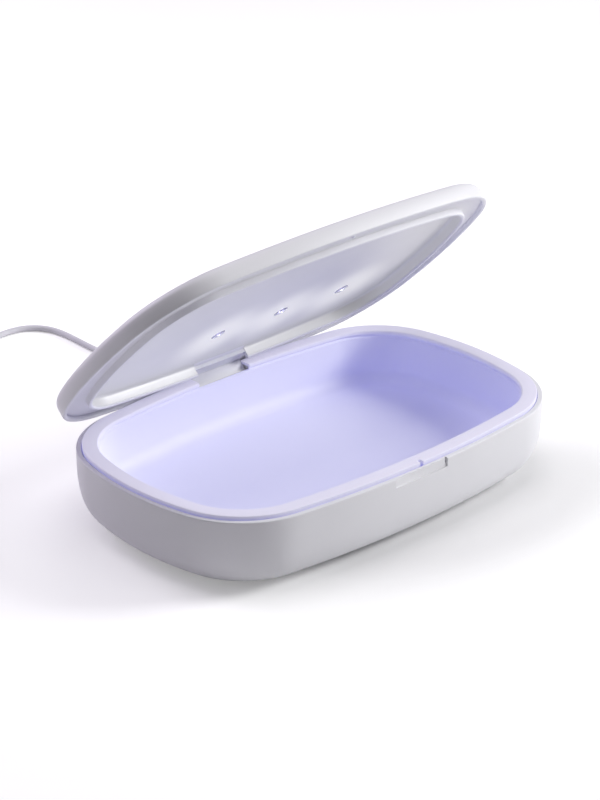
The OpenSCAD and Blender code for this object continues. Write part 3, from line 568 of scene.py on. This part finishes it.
class BoxLook(bpy.types.PropertyGroup):
    shell_colour: bpy.props.StringProperty(name="Shell colour", description="Colour of the moulded shell, in hex", default="#E8E8EC")
    # the rim's base colour, set darker than the tray's under the rim's even painted glow
    rim_colour: bpy.props.StringProperty(name="Rim colour", description="Colour of the tray's rim, in hex", default="#CBC9D6")
    tray_colour: bpy.props.StringProperty(name="Tray colour", description="Colour inside the tray, in hex", default="#E2E1DC")
    # painted light: the violet of the lamps' light, painted on the tray as its glow colour
    tray_painted_light_colour: bpy.props.StringProperty(name="Glow colour", description="Colour of the lamps' light in the tray, in hex", default="#8689FF")
    # painted light: an even pale glow painted on the tray's rim
    rim_painted_light_colour: bpy.props.StringProperty(name="Rim glow colour", description="Colour of the light that the rim passes on, in hex",
                                              default="#E4E1F8")
    mirror_colour: bpy.props.StringProperty(name="Mirror colour", description="Colour of the mirror's coating, in hex", default="#CBCBCE")
    lead_colour: bpy.props.StringProperty(name="Lead colour", description="Colour of the lead's sheath, in hex", default="#DAD9DF")
    # strength of the painted light on the tray
    tray_painted_light_strength: bpy.props.FloatProperty(name="Tray glow", description="How strongly the tray gives back the lamps' light",
                                       default=0.31, min=0.0, max=2.0, subtype="FACTOR")
    # strength of the lamps' painted light on the mirror
    mirror_painted_light_strength: bpy.props.FloatProperty(name="Halo glow", description="Strength of the lamps' light on the mirror", default=0.24,
                                       min=0.0, max=2.0, subtype="FACTOR")
    lamp_glow: bpy.props.FloatProperty(name="Lamp glow", description="Strength of the lit lamps", default=6.0, min=0.0, max=40.0)


class BoxSizes(bpy.types.PropertyGroup):
    recess_w: bpy.props.FloatProperty(name="Recess width", description="Width of the finger recess", default=33 * MM,
                                      min=20 * MM, max=45 * MM, unit="LENGTH")
    recess_h: bpy.props.FloatProperty(name="Recess height", description="Height of the finger recess", default=4.4 * MM,
                                      min=3 * MM, max=6 * MM, unit="LENGTH")
    edge_r: bpy.props.FloatProperty(name="Edge radius", description="Radius of the shell's ledge", default=0.6 * MM,
                                    min=0.2 * MM, max=1.0 * MM, unit="LENGTH")


class BuildStep(bpy.types.Operator):
    """Shared ground of the build steps"""
    bl_idname = "sanitizer_box.step"
    bl_label = "Build step"
    bl_options = {"REGISTER", "UNDO"}

    def execute(self, context):
        self.build(context.scene.box_look, context.scene.box_sizes)
        return {"FINISHED"}

    def build(self, look, sizes):
        raise RuntimeError("a build step has to say what it builds")


# Stage

CAMERA_AT = (-0.8490, -0.8945, 0.6216)
CAMERA_WAY = (0.6205, 0.6606, -0.4226)
LENS = 131.1


# name, place, size in metres, watts, colour
STUDIO_LAMPS = (
    ("key", (1.08, -0.70, 0.66), 0.5, 17.1, "#FFFFFF"),
    ("top", (0.0, 0.15, 1.3), 0.9, 7.6, "#FDFBFF"),
    ("back", (-0.25, 1.2, 0.6), 0.7, 7.6, "#F3E7FF"),
)
AMBIENT = 0.05
FLOOR_LIFT = 0.31


class BuildStage(BuildStep):
    """Sets the camera, the lamps, the floor and the white background"""
    bl_idname = "sanitizer_box.stage"
    bl_label = "Stage"

    def build(self, look, sizes):
        scene = bpy.context.scene
        deselect()
        bpy.ops.object.camera_add(location=CAMERA_AT)
        camera = bpy.context.object
        camera.name = "camera"
        camera.rotation_euler = Vector(CAMERA_WAY).to_track_quat("-Z", "Y").to_euler()
        camera.data.lens = LENS
        camera.data.sensor_width = 36
        camera.data.sensor_fit = "AUTO"
        camera.data.clip_end = 20
        scene.camera = camera
        scene.view_settings.view_transform = "Standard"
        for name, at, size, power, tint in STUDIO_LAMPS:
            self.lamp(name, at, (0.0, 0.0, 0.03), size, power, tint)
        self.floor()
        self.sky()

    def lamp(self, name, at, to, size, power, tint):
        deselect()
        bpy.ops.object.light_add(type="AREA", location=at)
        lamp = bpy.context.object
        lamp.name = "lamp_" + name
        lamp.rotation_euler = (Vector(to) - Vector(at)).to_track_quat("-Z", "Y").to_euler()
        lamp.data.size = size
        lamp.data.energy = power
        lamp.data.color = colour(tint)[:3]

    def floor(self):
        deselect()
        bpy.ops.mesh.primitive_plane_add(size=8)
        floor = bpy.context.object
        floor.name = "floor"
        material = bpy.data.materials.new("studio_floor")
        material.use_nodes = True
        tree = material.node_tree
        shader = tree.nodes["Principled BSDF"]
        shader.inputs["Base Color"].default_value = colour("#F2F2F2")
        shader.inputs["Roughness"].default_value = 1.0
        shader.inputs["Specular IOR Level"].default_value = 0.0
        # seen straight on or in a gloss, the floor is lifted to white; the lift falls off near the box, which paints a
        # shade round it
        coords = add_node(tree, "ShaderNodeTexCoord")
        mapped = add_node(tree, "ShaderNodeMapping", {"Location": (-0.021, 0.06, 0), "Scale": (0.526, 1, 1)},
                          Vector=coords.outputs["Object"])
        away = add_node(tree, "ShaderNodeVectorMath", {"operation": "LENGTH"}, Vector=mapped.outputs["Vector"])
        lift = add_node(tree, "ShaderNodeMapRange", {"interpolation_type": "SMOOTHSTEP", "From Min": 0.032, "From Max": 0.078,
                                                     "To Max": FLOOR_LIFT}, Value=away.outputs["Value"])
        rays = add_node(tree, "ShaderNodeLightPath")
        seen = add_node(tree, "ShaderNodeMath", {"operation": "MAXIMUM"})
        tree.links.new(rays.outputs["Is Camera Ray"], seen.inputs[0])
        tree.links.new(rays.outputs["Is Glossy Ray"], seen.inputs[1])
        level = add_node(tree, "ShaderNodeMath", {"operation": "MULTIPLY"})
        tree.links.new(seen.outputs["Value"], level.inputs[0])
        tree.links.new(lift.outputs["Result"], level.inputs[1])
        tree.links.new(level.outputs["Value"], shader.inputs["Emission Strength"])
        shader.inputs["Emission Color"].default_value = (1, 1, 1, 1)
        floor.data.materials.append(material)

    def sky(self):
        scene = bpy.context.scene
        world = scene.world or bpy.data.worlds.new("studio")
        scene.world = world
        world.use_nodes = True
        tree = world.node_tree
        tree.nodes.clear()
        rays = add_node(tree, "ShaderNodeLightPath")
        soft = add_node(tree, "ShaderNodeBackground", {"Color": colour("#F1E8FF"), "Strength": AMBIENT})
        white = add_node(tree, "ShaderNodeBackground", {"Color": (1, 1, 1, 1), "Strength": 1.0})
        seen = add_node(tree, "ShaderNodeMath", {"operation": "MAXIMUM"})
        tree.links.new(rays.outputs["Is Camera Ray"], seen.inputs[0])
        tree.links.new(rays.outputs["Is Transmission Ray"], seen.inputs[1])
        mix = add_node(tree, "ShaderNodeMixShader", None, Fac=seen.outputs["Value"])
        tree.links.new(soft.outputs["Background"], mix.inputs[1])
        tree.links.new(white.outputs["Background"], mix.inputs[2])
        out = add_node(tree, "ShaderNodeOutputWorld")
        tree.links.new(mix.outputs["Shader"], out.inputs["Surface"])


# Lead

def between(points, steps=4):
    """More points on a smooth line through the given ones."""
    pts = [Vector(p) for p in points]
    out = []
    for i in range(len(pts) - 1):
        before = pts[i - 1] if i else pts[0] * 2 - pts[1]
        after = pts[i + 2] if i + 2 < len(pts) else pts[-1] * 2 - pts[-2]
        for k in range(steps):
            t = k / steps
            a, b = pts[i], pts[i + 1]
            out.append(0.5 * (2 * a + (b - before) * t + (2 * before - 5 * a + 4 * b - after) * t**2
                              + (3 * a - before - 3 * b + after) * t**3))
    return out + [pts[-1]]


def coil_points():
    """The lead's coil: in along the lower layer, up a layer, and out along the upper one."""
    pitch = LEAD_D + COIL_GAP
    rest = LEAD_D / 2
    end = LEAD_ROUTE[-1]
    centre = (end[0] - LEAD_D, end[1] - COIL_R)
    half = int(COIL_TURNS * LOOP_RINGS)
    tail = LOOP_RINGS // 4
    out = []
    for i in range(2 * half + 1):
        a = math.radians(90 + 360 * i / LOOP_RINGS)
        r = COIL_R - pitch * (half - abs(half - i)) / LOOP_RINGS
        rise = max(0, min(1, (i - half + LOOP_RINGS / 4) / (LOOP_RINGS / 2)))
        out.append((centre[0] + r * math.cos(a), centre[1] + r * math.sin(a), rest + pitch * rise))
    for k in range(1, tail + 1):
        u = k / tail
        a = math.radians(90 + 90 * u)
        r = COIL_R + TAIL_OUT * math.sin(math.radians(90 * u))
        out.append((centre[0] + r * math.cos(a), centre[1] + r * math.sin(a), rest + pitch * (1 - u**1.5)))
    last = out[-1]
    out.append((last[0], last[1] - LEAD_D, rest))
    return out


class BuildLead(BuildStep):
    """Lays the lead with its coil and its two plugs"""
    bl_idname = "sanitizer_box.lead"
    bl_label = "Lead and plugs"

    def build(self, look, sizes):
        route = between(LEAD_ROUTE) + between(coil_points(), 2)
        curve = bpy.data.curves.new("supply_lead", "CURVE")
        curve.dimensions = "3D"
        spline = curve.splines.new("POLY")
        spline.points.add(len(route) - 1)
        for point, place in zip(spline.points, route):
            point.co = [c * MM for c in place] + [1]
        curve.bevel_depth = LEAD_D / 2 * MM
        curve.bevel_resolution = 4
        curve.use_fill_caps = True
        lead = bpy.data.objects.new("supply_lead", curve)
        bpy.context.scene.collection.objects.link(lead)
        curve.materials.append(MATERIALS["lead"])
        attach(lead, "base")
        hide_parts("power_cord", "cord_coil")
        near = [self.box_plug(), bpy.data.objects["box_plug_tip"]]
        far = self.far_plug()

    def box_plug(self):
        start, nose, end = HALF_W - 6.7, HALF_W - 6.7 + 22.3, LEAD_ROUTE[0][1]
        centre = (SOCKET_X, PORT_Z)
        w, h = 10.8, 6.0
        rings = [bar_ring(w - 1.2, h - 1.2, start, centre), bar_ring(w - 0.4, h - 0.4, start + 0.3, centre),
                 bar_ring(w, h, start + 0.9, centre), bar_ring(w, h, start + 8, centre),
                 bar_ring(w - 0.5, h - 0.5, start + 8.6, centre), bar_ring(w - 0.5, h - 0.5, start + 9.4, centre),
                 bar_ring(w, h, start + 10, centre), bar_ring(w, h, nose - 3, centre),
                 bar_ring(w - 1.2, h - 0.6, nose - 1, centre), bar_ring(w - 4, h - 1.6, nose - 0.2, centre)]
        grip = grown("box_plug_grip", rings)
        relief = self.relief("relief_a", 2.15, 1.75, nose - 0.8, end, centre)
        cut(grip, relief, operation="UNION")
        return mount(grip, "base", "lead_grey", MATERIALS["grip"], "box_plug")

    def relief(self, name, wide, thin, start, end, centre, way=1):
        """A ribbed strain relief that tapers along Y."""
        ribs = 6
        profile = [(0, 0)]
        for i in range(ribs):
            a = (end - start) * way * (i + 0.08) / ribs
            b = (end - start) * way * (i + 0.62) / ribs
            r = wide + (thin - wide) * i / (ribs - 1)
            profile += [(r, a), (r, b), (max(r - 0.4, LEAD_D / 2), b + 0.05), (max(r - 0.4, LEAD_D / 2), (end - start) * way * (i + 1.03) / ribs)]
        profile[-1] = (profile[-1][0], (end - start) * way)
        profile.append((0, (end - start) * way))
        piece = turned(name, profile, (0, 0, 0), "Y")
        if way < 0:
            piece.data.transform(Matrix.Rotation(math.pi, 4, "Z"))
        piece.data.transform(Matrix.Translation(Vector((centre[0], start, centre[1])) * MM))
        return piece

    def far_plug(self):
        low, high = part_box("far_plug")
        low = [v / MM for v in low]
        high = [v / MM for v in high]
        x = (low[0] + high[0]) / 2
        front, back = low[1], high[1]
        body = block("supply_plug_grip", (low[0], front, 0.0), (high[0], front + 24, 7.6), 1.1, 4)
        for side in (-1, 1):
            groove = [block("groove", (x + side * 7.6 - 0.5, front + 6 + 3 * i, 1.5), (x + side * 7.6 + 0.5, front + 7.4 + 3 * i, 6.1))
                      for i in range(4)]
            cut(body, *groove)
        nose = self.relief("relief_b", 2.35, 1.8, front + 23.6, back, (x, 2.4), 1)
        cut(body, nose, operation="UNION")
        mount(body, "base", "lead_grey", MATERIALS["grip"], "far_plug")
        low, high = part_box("far_plug_shell")
        low = [v / MM for v in low]
        high = [v / MM for v in high]
        shell = block("supply_plug_shell", low, high, 0.35, 3)
        cut(shell, block("mouth", (low[0] + 0.4, low[1] - 1, low[2] + 0.4 + 1.9), (high[0] - 0.4, high[1] - 1, high[2] - 0.4), 0.1, 1))
        windows = [block("window", (x + s * 2.6 - 1.0, low[1] + 5.0, high[2] - 0.8), (x + s * 2.6 + 1.0, low[1] + 7.2, high[2] + 1), 0.1, 1)
                   for s in (-1, 1)]
        cut(shell, *windows)
        mount(shell, "base", "socket_steel", MATERIALS["drawn_steel"], "far_plug_shell")
        return [body, shell]


# Base

REBATE_Y, REBATE_DROP = 0.8, 1.8


def rear_rebate():
    return block("rebate", (-HALF_L, HINGE_Y + REBATE_Y, HINGE_Z - REBATE_DROP), (HALF_L, HALF_W + 6, BASE_H + 20))


class BuildShell(BuildStep):
    """Models the lower shell"""
    bl_idname = "sanitizer_box.lower_shell"
    bl_label = "Lower shell"

    def build(self, look, sizes):
        edge = sizes.edge_r / MM
        depth = BASE_H - FOOT_H
        inner_depth = BASE_H - FLOOR_Z
        inner_in = BOTTOM_IN - WALL / 3
        steps = 26
        outer = []
        for i in range(steps, -1, -1):
            a = math.pi / 2 * (i / steps)
            down = depth * math.sin(a) ** (2 / FULLNESS)
            inset = BOTTOM_IN * (1 - math.cos(a) ** (2 / FULLNESS)) if i < steps else BOTTOM_IN
            if down > edge + 0.3:
                outer.append((BASE_H - down, inset))
        outer.append((BASE_H - edge - 0.2, 0.0))
        rim = rounded(BASE_H - edge, edge, edge, 0, 90)
        rim += [(BASE_H, WALL - 0.25), (BASE_H - 0.25, WALL)]
        inner = []
        for i in range(1, 13):
            a = math.pi / 2 * (i / 12)
            down = inner_depth * math.sin(a) ** (2 / FULLNESS)
            inner.append((BASE_H - down, WALL + (inner_in - WALL) * (1 - max(math.cos(a), 0) ** (2 / FULLNESS))))
        shell = levels_skin("lower_shell_skin", outer + rim + inner)
        w, h = sizes.recess_w / MM, sizes.recess_h / MM
        cut(shell, rear_rebate(),
            rod("cove", KNUCKLE_R + COVE_GAP, (-HINGE_HALF - COVE_GAP, HINGE_Y, HINGE_Z), 2 * (HINGE_HALF + COVE_GAP), "X"),
            block("recess", (RECESS_X - w / 2, -HALF_W - 3, BASE_H - h), (RECESS_X + w / 2, -HALF_W + 0.9, BASE_H + 3), 0.4, 3),
            block("nick", (RECESS_X + w / 2 - 1.2, -HALF_W - 3, BASE_H - 2.6), (RECESS_X + w / 2, -HALF_W + 1.8, BASE_H + 3), 0.2, 2),
            grown("port", [bar_ring(12.6, 7.4, y, (SOCKET_X, PORT_Z)) for y in (HALF_W - 15, HALF_W + 6)]),
            *[rod("seat", 6.05, (x, y, FOOT_H - 0.5), 1.25) for x in (-68, 68) for y in (-30, 30)])
        mount(shell, "base", "shell_plastic", MATERIALS["shell"], "lower_shell")


class BuildTray(BuildStep):
    """Models the tray with its bezel and the hinge's outer knuckles"""
    bl_idname = "sanitizer_box.tray"
    bl_label = "Tray"

    def build(self, look, sizes):
        foot = TRAY_FOOT_R + TRAY_WALL
        under = []
        for i in range(8, -1, -1):
            a = math.radians(90 * (8 - i) / 8)
            under.append((TRAY_UNDER_Z + foot * (1 - math.cos(a)), MOUTH_IN - TRAY_WALL + TRAY_LEAN + foot * (1 - math.sin(a))))
        skirt = [(BEZEL_Z - BEZEL_T, MOUTH_IN - TRAY_WALL), (BEZEL_Z - BEZEL_T, BEZEL_IN + 0.2), (BEZEL_Z - BEZEL_T + 0.2, BEZEL_IN)]
        top = rounded(BEZEL_Z - 0.45, BEZEL_IN + 0.45, 0.45, 0, 90)
        lip = rounded(BEZEL_Z - 0.7, MOUTH_IN - 1.3, 0.7, 90, 160, 5)
        step = [(BEZEL_Z - 1.5, MOUTH_IN - 0.35), (BEZEL_Z - 1.8, MOUTH_IN - 0.75), (BEZEL_Z - 2.5, MOUTH_IN - 0.85),
                (BEZEL_Z - 2.9, MOUTH_IN - 0.5), (BEZEL_Z - 3.2, MOUTH_IN), (BEZEL_Z - 3.6, MOUTH_IN + 0.2)]
        wall = []
        for i in range(9):
            a = math.radians(90 * i / 8)
            wall.append((TRAY_FLOOR_Z + TRAY_FOOT_R * (1 - math.sin(a)), MOUTH_IN + TRAY_LEAN + TRAY_FOOT_R * (1 - math.cos(a))))
        tray = levels_skin("tray_tub", under + skirt + top + lip + step + wall)
        knuckle_l = HINGE_HALF - BLOCK_HALF - KNUCKLE_GAP
        cut(tray, rear_rebate())
        for side in (-1, 1):
            mid = side * (HINGE_HALF + BLOCK_HALF + KNUCKLE_GAP) / 2
            knuckle = rod("knuckle", KNUCKLE_R, (mid - knuckle_l / 2, HINGE_Y, HINGE_Z), knuckle_l, "X", 0.3)
            arm = block("arm", (mid - knuckle_l / 2, HINGE_Y - KNUCKLE_R - 1, HINGE_Z - KNUCKLE_R + 0.6),
                        (mid + knuckle_l / 2, HINGE_Y + REBATE_Y - 0.02, HINGE_Z + KNUCKLE_R - 0.02), 0.3, 2)
            cut(tray, knuckle, arm, operation="UNION")
        gap = BLOCK_HALF + KNUCKLE_GAP
        cut(tray,
            rod("turn", KNUCKLE_R + COVE_GAP, (-gap, HINGE_Y, HINGE_Z), 2 * gap, "X"),
            block("behind", (-gap, HINGE_Y - KNUCKLE_R - COVE_GAP, HINGE_Z), (gap, HALF_W + 3, BASE_H + 20)),
            block("notch", (-gap, HALF_W - MOUTH_IN - 4, BEZEL_Z - 2.7), (gap, HALF_W + 1, BEZEL_Z + 2), 0.25, 2),
            rod("pin_hole", SHAFT_R + 0.05, (-HINGE_HALF - 1, HINGE_Y, HINGE_Z), 2 * HINGE_HALF + 2, "X"),
            block("rib_slot", (RIB_X - 1, -HALF_W + BEZEL_IN - 2, BASE_H - 2), (RIB_X + 1, -HALF_W + BEZEL_IN + 2.4, BEZEL_Z + 2), 0.2, 2))
        mount(tray, "base", "tray_plastic", MATERIALS["tray"], "tray")


# Lid

LID_CURVE = [(0.0, 0.0), (0.27, 0.35), (0.48, 1.1), (0.67, 2.6), (0.82, 5.6), (0.91, 11.0), (0.965, 20.0), (1.0, 38.0)]


def crown(height):
    """Levels of the lid's top, from its upright band to its flat middle."""
    band = LID_H * 0.45
    pts = between([(s, inset, 0) for s, inset in LID_CURVE], 4)
    return [(LID_Z + band + (height - band) * p.x, max(p.y, 0.0)) for p in pts]


class BuildLidCover(BuildStep):
    """Models the lid's outer shell"""
    bl_idname = "sanitizer_box.lid_cover"
    bl_label = "Lid cover"

    def build(self, look, sizes):
        r = 0.8
        ceiling = LID_TOP_Z - LID_WALL
        inner = [(ceiling, 30.0), (ceiling - 0.5, 12.0), (ceiling - 2.2, 5.0), (LID_Z + 4, LID_WALL + 0.4), (LID_Z + 0.4, LID_WALL)]
        rim = rounded(LID_Z + r, LID_WALL - r, r, 270, 180, 3)[:0]
        rim = [(LID_Z + 0.12, LID_WALL - 0.12), (LID_Z, LID_WALL - 0.4)]
        rim += [(LID_Z + r * (1 - math.cos(math.radians(a))), r * (1 - math.sin(math.radians(a)))) for a in (0, 22.5, 45, 67.5, 90)]
        cover = levels_skin("lid_cover", inner + rim + crown(LID_H))
        hole = BUTTON_R + BUTTON_GAP + RING_W + 0.05
        cut(cover, rod("button_hole", hole, (0, -BUTTON_Y, LID_Z + 4), LID_H, "Z"),
            block("hinge_room", (-BLOCK_HALF - 0.2, HINGE_Y - KNUCKLE_R, LID_Z - 1), (BLOCK_HALF + 0.2, HALF_W - LID_WALL, FLANGE_Z)))
        open_lid(cover)
        mount(cover, "lid", "shell_plastic", MATERIALS["shell"], "lid_shell")


class BuildLidLiner(BuildStep):
    """Models the lid's liner with the lip that drops into the tray's mouth"""
    bl_idname = "sanitizer_box.lid_liner"
    bl_label = "Lid liner"

    def build(self, look, sizes):
        edge = LID_WALL + LINER_GAP
        top = MIRROR_Z + MIRROR_T
        levels = [(top, MIRROR_IN), (MIRROR_Z, MIRROR_IN), (MIRROR_Z, PAN_IN)]
        levels += [(MIRROR_Z - 0.3, PAN_IN), (LIP_Z + 0.8, PAN_IN), (LIP_Z + 0.4, PAN_IN - 0.08), (LIP_Z + 0.12, PAN_IN - 0.3),
                   (LIP_Z, PAN_IN - 0.6), (LIP_Z, LIP_IN + 0.6), (LIP_Z + 0.12, LIP_IN + 0.3), (LIP_Z + 0.4, LIP_IN + 0.08),
                   (LIP_Z + 0.8, LIP_IN), (FLANGE_Z - 0.6, LIP_IN), (FLANGE_Z - 0.2, LIP_IN - 0.15), (FLANGE_Z, LIP_IN - 0.5)]
        levels += [(FLANGE_Z, edge + 0.3), (FLANGE_Z + 0.3, edge), (FLANGE_Z + LINER_T, edge), (FLANGE_Z + LINER_T, LIP_IN), (top, LIP_IN)]
        levels.append(levels[0])
        liner = levels_skin("lid_liner_frame", levels, ends="none", joined=True)
        cut(liner,
            block("hinge_notch", (-BLOCK_HALF - 0.3, HALF_W - PAN_IN - 2, LIP_Z - 1), (BLOCK_HALF + 0.3, HALF_W + 1, FLANGE_Z), 0.2, 2))
        rib = block("guide_rib", (RIB_X - 0.6, -HALF_W + BEZEL_IN - 0.25, BASE_H + 0.2),
                    (RIB_X + 0.6, -HALF_W + BEZEL_IN + 1.75, FLANGE_Z + 0.5), 0.2, 2)
        cut(liner, rib, operation="UNION")
        # apron that runs from the mirror's edge down to the hinge
        near, far = HALF_W - PAN_IN - 2, HINGE_Y - KNUCKLE_R - 0.1
        apron = grown("apron", [[(x, near, MIRROR_Z - 0.1), (x, far, FLANGE_Z - 0.9), (x, far, FLANGE_Z + 0.4), (x, near, MIRROR_Z + 0.4)]
                                for x in (-BLOCK_HALF - 0.25, BLOCK_HALF + 0.25)])
        cut(liner, apron, operation="UNION")
        open_lid(liner)
        mount(liner, "lid", "shell_plastic", MATERIALS["shell"], "lid_liner")


def lamp_places():
    return [(LAMP_X + (i - 1) * LAMP_PITCH, LAMP_Y) for i in range(3)]


class BuildMirror(BuildStep):
    """Models the mirror plate with its three lamp holes"""
    bl_idname = "sanitizer_box.mirror"
    bl_label = "Mirror"

    def build(self, look, sizes):
        inset = MIRROR_IN + 0.05
        side = PAN_IN + 0.02
        top = MIRROR_Z + MIRROR_T
        foot = [(MIRROR_Z - 1.6 * (1 - math.cos(math.radians(a))), side + 0.2 + 1.6 * (1 - math.sin(math.radians(a))))
                for a in (0, 22.5, 45, 67.5, 90)]
        plate = levels_skin("mirror_panel", [*foot, (LIP_Z + 0.95, side + 0.2), (LIP_Z + 0.85, side), (MIRROR_Z, side),
                                             (MIRROR_Z, inset), (top, inset)])
        notch = HALF_W - PAN_IN - 2
        cut(plate, block("hinge_notch", (-BLOCK_HALF - 0.3, notch, LIP_Z - 1), (BLOCK_HALF + 0.3, HALF_W, MIRROR_Z - 0.05)))
        profile = [(0, -1), (WINDOW_R + 0.55, -1), (WINDOW_R + 0.55, 0.0), (WINDOW_R + 0.05, 0.35), (WINDOW_R + 0.05, 3), (0, 3)]
        cut(plate, *[turned("hole", profile, (x, y, MIRROR_Z), "Z", 64) for x, y in lamp_places()])
        open_lid(plate)
        mount(plate, "lid", "mirror_coat", MATERIALS["mirror"], "mirror_plate")


class BuildLamps(BuildStep):
    """Models the lamps' windows and the lamps behind them"""
    bl_idname = "sanitizer_box.lamps"
    bl_label = "Lamps"

    def build(self, look, sizes):
        z = MIRROR_Z
        window = turned("lamp_windows", [(0, -0.2), (1.6, -0.17), (2.8, -0.08), (3.5, 0.05), (WINDOW_R, 0.3), (WINDOW_R, 0.6), (0, 0.6)],
                        (0, 0, 0), "Z", 48)
        lamp = block("lamp_packages", (-1.8, -1.8, 0.8), (1.8, 1.8, 1.5), 0.15, 2)
        cut(lamp, turned("dish", [(0, 0.5), (1.35, 0.5), (1.35, 0.8), (1.0, 1.15), (0, 1.15)], (0, 0, 0), "Z", 32))
        die = block("die", (-0.5, -0.5, 1.0), (0.5, 0.5, 1.2), 0.03, 1)
        cut(lamp, die, operation="UNION")
        for piece, slot, material, node in ((window, "quartz", "quartz", "led_windows"), (lamp, "lamp_die", "lamp", "uv_leds")):
            self.repeat(piece, [(x, y, z) for x, y in lamp_places()])
            open_lid(piece)
            mount(piece, "lid", slot, MATERIALS[material], node)

    def repeat(self, piece, places):
        """Copies the piece to each place and joins the copies."""
        copies = []
        for place in places[1:]:
            copy = piece.copy()
            copy.data = piece.data.copy()
            copy.data.transform(Matrix.Translation(Vector(place) * MM))
            bpy.context.scene.collection.objects.link(copy)
            copies.append(copy)
        piece.data.transform(Matrix.Translation(Vector(places[0]) * MM))
        pick(piece)
        for copy in copies:
            copy.select_set(True)
        bpy.ops.object.join()


class BuildHinge(BuildStep):
    """Models the hinge's middle knuckle with its arm"""
    bl_idname = "sanitizer_box.hinge"
    bl_label = "Hinge"

    def build(self, look, sizes):
        block_piece = rod("hinge_knuckle", KNUCKLE_R, (-BLOCK_HALF, HINGE_Y, HINGE_Z), 2 * BLOCK_HALF, "X", 0.3)
        arm = block("arm", (-BLOCK_HALF, HINGE_Y - KNUCKLE_R, HINGE_Z), (BLOCK_HALF, HINGE_Y + 2.2, FLANGE_Z), 0.3, 2)
        cut(block_piece, arm, operation="UNION")
        cut(block_piece, rod("bore", SHAFT_R + 0.3, (-BLOCK_HALF - 1, HINGE_Y, HINGE_Z), 2 * BLOCK_HALF + 2, "X"),
            rod("bush_a", SHAFT_R + 0.9, (-BLOCK_HALF - 1, HINGE_Y, HINGE_Z), 8, "X"),
            rod("bush_b", SHAFT_R + 0.9, (BLOCK_HALF - 7, HINGE_Y, HINGE_Z), 8, "X"))
        open_lid(block_piece)
        mount(block_piece, "lid", "shell_plastic", MATERIALS["shell"], "hinge_block")


class BuildButton(BuildStep):
    """Models the start button and the light ring round it"""
    bl_idname = "sanitizer_box.button"
    bl_label = "Start button"

    def build(self, look, sizes):
        top = LID_TOP_Z - BUTTON_Z + BUTTON_TOP
        cap = turned("start_button_cap",
                     [(0, 0), (BUTTON_R, 0), (BUTTON_R, top - 0.5), (BUTTON_R - 0.15, top - 0.15), (BUTTON_R - 0.5, top),
                      (BUTTON_R - 1.2, top), (BUTTON_R - 2.2, top - 0.12), (3.0, top - 0.3), (0, top - 0.36)],
                     (0, -BUTTON_Y, BUTTON_Z), "Z", 72)
        open_lid(cap)
        mount(cap, "button", "button_plastic", MATERIALS["cap"], "start_button")
        inner, outer, high = BUTTON_R + BUTTON_GAP, BUTTON_R + BUTTON_GAP + RING_W, LID_TOP_Z - 0.3 - BUTTON_Z
        ring = turned("button_light_ring",
                      [(inner, 0), (outer, 0), (outer, high - 0.1), (outer - 0.15, high), (inner + 0.2, high), (inner, high - 0.2), (inner, 0)],
                      (0, -BUTTON_Y, BUTTON_Z), "Z", 72)
        open_lid(ring)
        mount(ring, "lid", "ring_plastic", MATERIALS["ring"], "light_ring")


NODE_FINISHES = {
    "rubber_feet": "rubber", "base_screws": "steel", "board_screws": "steel", "block_screws": "steel", "hinge_shaft": "steel",
    "main_board": "board", "lid_sensor": "board", "board_parts": "epoxy", "button_switch": "epoxy", "power_socket": "drawn_steel",
    "box_plug_tip": "drawn_steel", "base_magnets": "nickel", "lid_magnets": "nickel", "base_ribbon": "film", "lid_ribbon": "film",
    "led_board": "lamp_board", "heat_spreader": "aluminium", "hinge_bushes": "acetal",
}


class BuildFinishes(BuildStep):
    """Gives the pieces that stay as the frame has them their finishes"""
    bl_idname = "sanitizer_box.finishes"
    bl_label = "Finishes"

    def build(self, look, sizes):
        for node, finish in NODE_FINISHES.items():
            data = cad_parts[node].data
            data.materials.clear()
            data.materials.append(MATERIALS[finish])


STEPS = (BuildStage, BuildLead, BuildShell, BuildTray, BuildLidCover, BuildLidLiner, BuildMirror, BuildLamps, BuildHinge,
         BuildButton, BuildFinishes)


class BoxPanel(bpy.types.Panel):
    """Lists the build steps with the values that a user would change"""
    bl_idname = "SANITIZER_PT_box"
    bl_label = "Sanitizer Box"
    bl_space_type = "VIEW_3D"
    bl_region_type = "UI"
    bl_category = "Sanitizer Box"

    def draw(self, context):
        for group in (context.scene.box_look, context.scene.box_sizes):
            for key in group.__annotations__:
                self.layout.prop(group, key)
        for step in STEPS:
            self.layout.operator(step.bl_idname)


CLASSES = (BoxLook, BoxSizes) + STEPS + (BoxPanel,)


def register():
    for cls in CLASSES:
        bpy.utils.register_class(cls)
    bpy.types.Scene.box_look = bpy.props.PointerProperty(type=BoxLook)
    bpy.types.Scene.box_sizes = bpy.props.PointerProperty(type=BoxSizes)


def unregister():
    del bpy.types.Scene.box_sizes
    del bpy.types.Scene.box_look
    for cls in reversed(CLASSES):
        bpy.utils.unregister_class(cls)


def main():
    register()
    make_materials(bpy.context.scene.box_look)
    for step in STEPS:
        group, name = step.bl_idname.split(".")
        result = getattr(getattr(bpy.ops, group), name)()
        if result != {"FINISHED"}:
            raise RuntimeError(step.bl_label + " did not finish")


if __name__ == "__main__":
    main()
